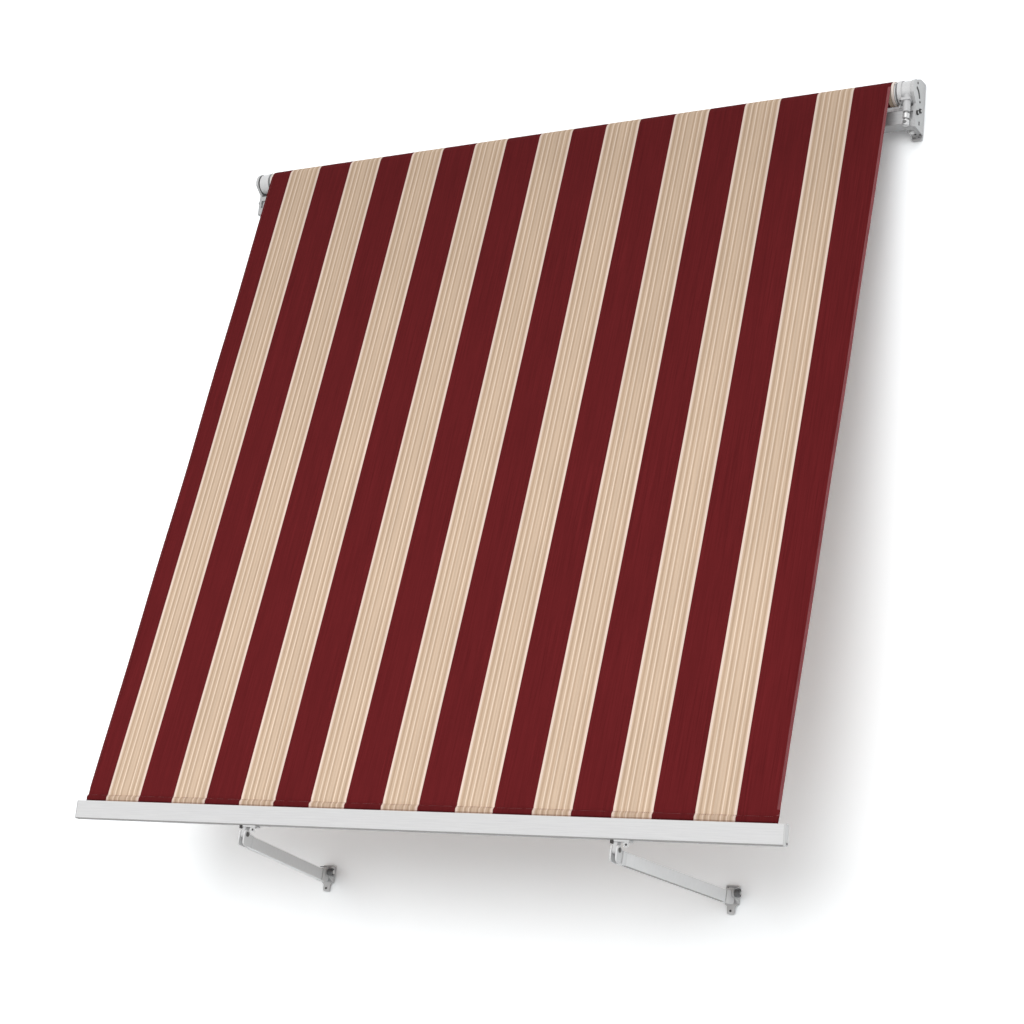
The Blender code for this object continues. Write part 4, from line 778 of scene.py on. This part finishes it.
# Hems. The side edges are bound with a narrow burgundy tape, the right one drawn in a lighter rose
# for painted sheen, and the lower edge is doubled where it is sewn into a pocket for the hem rod.
# Painted sheen: the right tape is burgundy lightened to rose, for the light it catches at a grazing view
sheen_tape_material, hem_tree, hem_output = new_material("right_tape_painted_sheen")
hem_where = hem_tree.nodes.new("ShaderNodeTexCoord").outputs["Object"]
hem_weave = stretched_noise(hem_tree, hem_where, (1.0, 0.05, 0.05), 700.0, 2.0)
hem_bands = stretched_noise(hem_tree, hem_where, (1.0, 0.3, 0.3), 60.0, 2.0)
tape_sheen_colour = ramp(hem_tree, maths(hem_tree, "ADD", maths(hem_tree, "MULTIPLY", hem_weave, 0.6),
                                  maths(hem_tree, "MULTIPLY", hem_bands, 0.4)),
                  [(0.3, linear(108, 42, 47)), (0.7, linear(146, 80, 83))])
hem_bump = hem_tree.nodes.new("ShaderNodeBump")
hem_bump.inputs["Strength"].default_value = 0.5
hem_bump.inputs["Distance"].default_value = 0.0003
link(hem_tree, hem_weave, hem_bump.inputs["Height"])
hem_surface = hem_tree.nodes.new("ShaderNodeBsdfPrincipled")
hem_surface.inputs["Sheen Weight"].default_value = 0.3
hem_surface.inputs["Specular IOR Level"].default_value = 0.25
link(hem_tree, tape_sheen_colour, hem_surface.inputs["Base Color"])
link(hem_tree, maths(hem_tree, "ADD", 0.75, maths(hem_tree, "MULTIPLY", hem_weave, 0.15)),
     hem_surface.inputs["Roughness"])
link(hem_tree, hem_bump.outputs["Normal"], hem_surface.inputs["Normal"])
link(hem_tree, hem_surface.outputs["BSDF"], hem_output.inputs["Surface"])

hem_width = 0.0070
lap = 0.0001
tape_thickness = 0.0007
pocket_thickness = 0.0009
tape_rows = steps(0.0, 1.9789, 100)
for side, first, last in (("left", cloth_left - 0.0006, cloth_left + hem_width),
                          ("right", cloth_right - hem_width, cloth_right + 0.0006)):
    tape = cloth_panel("side_hem_" + side, steps(first, last, 3), tape_rows,
                       sheen_tape_material if side == "right" else awning_cloth,
                       half_thickness - lap, half_thickness + tape_thickness)
    hang(tape)

# Painted shade: the doubled pocket is drawn darker than the cloth above it
shaded_pocket_material = cloth_material("shaded_striped_pocket", (0.84, 0.82, 0.82, 1.0), 0.0003)
pocket = cloth_panel("bottom_pocket", sheet_columns, steps(seam_line, 1.9780, 8), shaded_pocket_material,
                     half_thickness - lap, half_thickness + pocket_thickness)
hang(pocket)
# Painted shade: a dark strip of cloth along the foot of the pocket stands for the shade in the fold just
# above the bar
fold_shade_material = cloth_material("painted_fold_shade", (0.52, 0.47, 0.47, 1.0), 0.0003)
fold_shade = cloth_panel("pocket_fold_shade", sheet_columns, steps(1.9752, 1.9786, 3), fold_shade_material,
                   half_thickness + 0.0008, half_thickness + 0.0012)
hang(fold_shade)


# Stitching. Lockstitch in a burgundy polyester thread down both side tapes and along the top of the
# pocket, at just under five millimetres a stitch.
thread_material, thread_tree, thread_output = new_material("polyester_thread")
thread_where = thread_tree.nodes.new("ShaderNodeTexCoord").outputs["Object"]
thread_twist = stretched_noise(thread_tree, thread_where, (1.0, 1.0, 1.0), 1500.0, 1.0)
thread_surface = thread_tree.nodes.new("ShaderNodeBsdfPrincipled")
thread_surface.inputs["Sheen Weight"].default_value = 0.2
link(thread_tree, ramp(thread_tree, thread_twist, [(0.3, linear(104, 38, 42)), (0.7, linear(140, 72, 75))]),
     thread_surface.inputs["Base Color"])
link(thread_tree, maths(thread_tree, "ADD", 0.5, maths(thread_tree, "MULTIPLY", thread_twist, 0.2)),
     thread_surface.inputs["Roughness"])
link(thread_tree, thread_surface.outputs["BSDF"], thread_output.inputs["Surface"])


def stitch_row(name, places, along):
    """A row of short raised stitches; along is "x" or "s"."""
    length, width, height = 0.0032, 0.0009, 0.0006
    bm = bmesh.new()
    for x, s, above in places:
        ring = []
        for share, size in ((-0.5, 0.15), (-0.25, 1.0), (0.25, 1.0), (0.5, 0.15)):
            section = []
            for turn in (0.0, 0.5 * pi, pi, 1.5 * pi):
                side_way = 0.5 * width * size * cos(turn)
                lift = above + 0.5 * height * size * sin(turn)
                if along == "x":
                    section.append(bm.verts.new(sheet_point(x + share * length, s + side_way, lift)))
                else:
                    section.append(bm.verts.new(sheet_point(x + side_way, s + share * length, lift)))
            ring.append(section)
        for first, second in zip(ring, ring[1:]):
            for k in range(4):
                bm.faces.new((first[k], first[(k + 1) % 4], second[(k + 1) % 4], second[k]))
        bm.faces.new(ring[0][::-1])
        bm.faces.new(ring[-1])
    return finished(name, bm, thread_material)


stitch_pitch = 0.0048
stitch_inset = 0.0022
tape_stitches, pocket_stitches = 400, 402
for side, x in (("left", cloth_left + hem_width - stitch_inset),
                ("right", cloth_right - hem_width + stitch_inset)):
    row = [(x, 0.010 + stitch_pitch * i, half_thickness + tape_thickness) for i in range(tape_stitches)]
    hang(stitch_row("tape_stitches_" + side, row, "s"))
row = [(cloth_left + 0.004 + stitch_pitch * i, 1.9628, half_thickness + pocket_thickness)
       for i in range(pocket_stitches)]
hang(stitch_row("pocket_stitches", row, "x"))


# Front bar. A hollow aluminium extrusion with a grey coat, a keder groove along its top for the hem
# rod, a grey strip along its foot that paints the shade on its rounded lower edge, and a moulded cap
# with one screw at each end.
coated_bar = finish("coated_extrusion", linear(212, 212, 213), linear(236, 236, 236),
                    linear(120, 118, 115), 0.0, 0.42, (0.02, 1.0, 1.0), 700.0, 0.02, 0.00005)
dress(("front_bar",), coated_bar)
dress(("bar_cap_left", "bar_cap_right"), plain_plastic, 0.0008)
dress(("hem_rod",), zinc_plate)
dark_zinc = finish("blackened_zinc", linear(62, 60, 60), linear(120, 118, 116), linear(24, 23, 22), 0.4,
                   0.42, grain_scale=700.0, mottle_share=0.12)
dress(("cap_screw_left", "cap_screw_right"), dark_zinc)
# Painted shade: a grey strip along the bar's foot stands for the shade on its rounded lower edge
bar_foot_grey = finish("bar_foot_grey", linear(146, 145, 144), linear(150, 149, 148), linear(60, 58, 57), 0.0,
                     0.6, grain_scale=900.0, mottle_share=0.06)
bar_foot_shade = [(-0.5146, -1.9137), (-0.5152, -1.9133), (-0.5154, -1.9124), (-0.5152, -1.9114),
             (-0.5147, -1.9109)]
extruded("bar_foot_shade", bar_foot_shade, 0.0235, 1.971, bar_foot_grey, "front_bar")


# Front fittings. A casting clamped in the bar's lower groove at each arm, with a screw through its
# ear, a keeper plate, a rubber buffer for the folded arm and a blackened pin for the arm's fork.
dress(("front_fitting_left", "front_fitting_right"), coated_casting, 0.0006)
dress(("ear_screw_left", "ear_screw_right"), zinc_plate)
dress(("front_pin_left", "front_pin_right"), dark_zinc)
for side, foot in (("left", 0.552), ("right", 1.580)):
    keeper = rounded_outline((foot + 0.0335, -1.9290), (foot + 0.0470, -1.9136), 0.0032)
    extruded("keeper_plate_" + side, keeper, -0.5136, 0.0020, coated_casting, "front_bar",
             along="y")
    turned("keeper_screw_" + side,
           [(0.0026, 0.0), (0.0026, 0.0008), (0.0020, 0.0014), (0.0012, 0.0014, "hex"),
            (0.0011, 0.0004, "hex")],
           (foot + 0.0408, -0.5136, -1.9238), (0.0, -1.0, 0.0), dark_zinc, "front_bar")
    buffer = rounded_outline((foot + 0.0006, -1.9222), (foot + 0.0096, -1.9138), 0.0010, 3)
    extruded("rubber_buffer_" + side, buffer, -0.5150, 0.0130, black_rubber, "front_bar",
             along="y")


# Arms. A flat tube of brushed anodised aluminium with a grey strip on its lower face that paints the
# shade under it, a cast fork at the front end and a cast tongue at the wall.
anodised = finish("brushed_anodised_tube", linear(234, 235, 236), linear(244, 244, 244),
                  linear(100, 98, 96), 0.05, 0.40, (1.0, 0.04, 0.1), 900.0, 0.04, 0.00008)
arm_casting = finish("arm_casting", linear(216, 216, 217), linear(234, 234, 234), linear(80, 78, 76),
                     0.05, 0.45, grain_scale=420.0, mottle_share=0.04, bump_depth=0.00015)
dress(("arm_tube_left", "arm_tube_right"), anodised, 0.0006)
dress(("arm_fork_left", "arm_fork_right", "arm_tongue_left", "arm_tongue_right"), arm_casting, 0.0006)
# Painted shade: a thin grey strip on each tube's lower face stands for the shade under the tube
painted_underside_grey = finish("painted_arm_underside_shade", linear(150, 149, 148), linear(170, 169, 168), linear(60, 58, 57),
                     0.0, 0.55, grain_scale=900.0, mottle_share=0.06)
for side in ("left", "right"):
    tube = nodes["arm_tube_" + side].data
    level = sum((vertex.co.z for vertex in tube.vertices), 0.0) / len(tube.vertices)
    lower = [face for face in tube.polygons if face.normal.z < -0.99 and face.center.z < level]
    spots = {index for face in lower for index in face.vertices}
    corners = sorted((tube.vertices[index].co.copy() for index in spots), key=lambda corner: corner.y)
    corners = sorted(corners[:2], key=lambda corner: corner.x) + \
        sorted(corners[-2:], key=lambda corner: -corner.x)
    middle = sum(corners, Vector()) / len(corners)
    bm = bmesh.new()
    rings = []
    for lift in (0.00005, 0.0005):
        rings.append([bm.verts.new(middle + (corner - middle) * 0.985 + lower[0].normal * lift)
                      for corner in corners])
    close_prism(bm, *rings)
    shade_strip = finished("arm_underside_shade_" + side, bm, painted_underside_grey)
    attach(shade_strip, "arm_" + side)


# Arm brackets. A cast plate with two ears on the wall for each arm, a headed pivot pin, and a
# torsion spring of oiled steel wire that pushes the arm out.
oiled_spring = finish("oiled_spring_steel", linear(98, 98, 100), linear(170, 170, 170),
                      linear(28, 26, 25), 0.7, 0.38, grain_scale=800.0, mottle_share=0.15)
dress(("arm_bracket_left", "arm_bracket_right"), coated_casting, 0.0006)
dress(("arm_pin_left", "arm_pin_right"), zinc_plate)
plate_front = -0.005
for side, pivot_x in (("left", 0.491), ("right", 1.669)):
    for number, (x, z) in enumerate(((pivot_x - 0.010, -2.0113), (pivot_x - 0.020, -1.9583)), 1):
        washer = [(0.0030, 0.0), (0.0056, 0.0), (0.0056, 0.0007), (0.0052, 0.0011), (0.0030, 0.0011)]
        turned("wall_washer_%s_%d" % (side, number), washer, (x, plate_front, z), (0.0, -1.0, 0.0),
               zinc_plate, "frame", open_ring=True)
        turned("wall_screw_%s_%d" % (side, number),
               [(0.0031, 0.0), (0.0031, 0.0018), (0.0024, 0.0028), (0.0016, 0.0030),
                (0.0015, 0.0030, "hex"), (0.0014, 0.0012, "hex")],
               (x, plate_front, z), (0.0, -1.0, 0.0), dark_zinc, "frame")
# The first leg of each spring lies on the wall plate, and the last one reaches forward along the arm
wire_radius = 0.0013
coil_radius = 0.0085
coil_pitch = 0.0029
coil_turns = 4.5
coil_steps = 24
for side in ("left", "right"):
    pin_low, pin_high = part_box("arm_pin_" + side)
    coil_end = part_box("arm_spring_" + side)[1][0] - wire_radius
    centre = Vector((coil_end - coil_turns * coil_pitch, (pin_low[1] + pin_high[1]) / 2,
                     (pin_low[2] + pin_high[2]) / 2))
    route = [centre + Vector((0.0, 0.022, -coil_radius))]
    for i in range(int(coil_turns * coil_steps) + 1):
        turn = 2 * pi * i / coil_steps
        route.append(centre + Vector((coil_pitch * i / coil_steps, -coil_radius * sin(turn),
                                      -coil_radius * cos(turn))))
    last = route[-1]
    route += [last + Vector((0.0, -0.0035 * i, 0.00012 * i)) for i in range(1, 9)]
    route += [last + Vector((-0.0006, -0.0320, 0.0012)), last + Vector((-0.0024, -0.0338, 0.0014)),
              last + Vector((-0.0060, -0.0348, 0.0015)), last + Vector((-0.0200, -0.0360, 0.0015))]
    wire = bpy.data.curves.new("spring_wire_" + side, "CURVE")
    wire.dimensions = "3D"
    wire.bevel_depth = wire_radius
    wire.bevel_resolution = 2
    wire.use_fill_caps = True
    strand = wire.splines.new("POLY")
    strand.points.add(len(route) - 1)
    for point, spot in zip(strand.points, route):
        point.co = (*spot, 1.0)
    drawn = bpy.data.objects.new("spring_wire_" + side, wire)
    scene.collection.objects.link(drawn)
    bpy.context.view_layer.update()
    graph = bpy.context.evaluated_depsgraph_get()
    bm = bmesh.new()
    bm.from_mesh(bpy.data.meshes.new_from_object(drawn.evaluated_get(graph)))
    bpy.data.objects.remove(drawn)
    bmesh.ops.remove_doubles(bm, verts=bm.verts, dist=0.00002)
    spring = finished("coil_spring_" + side, bm, oiled_spring)
    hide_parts("arm_spring_" + side)
    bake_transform(spring)
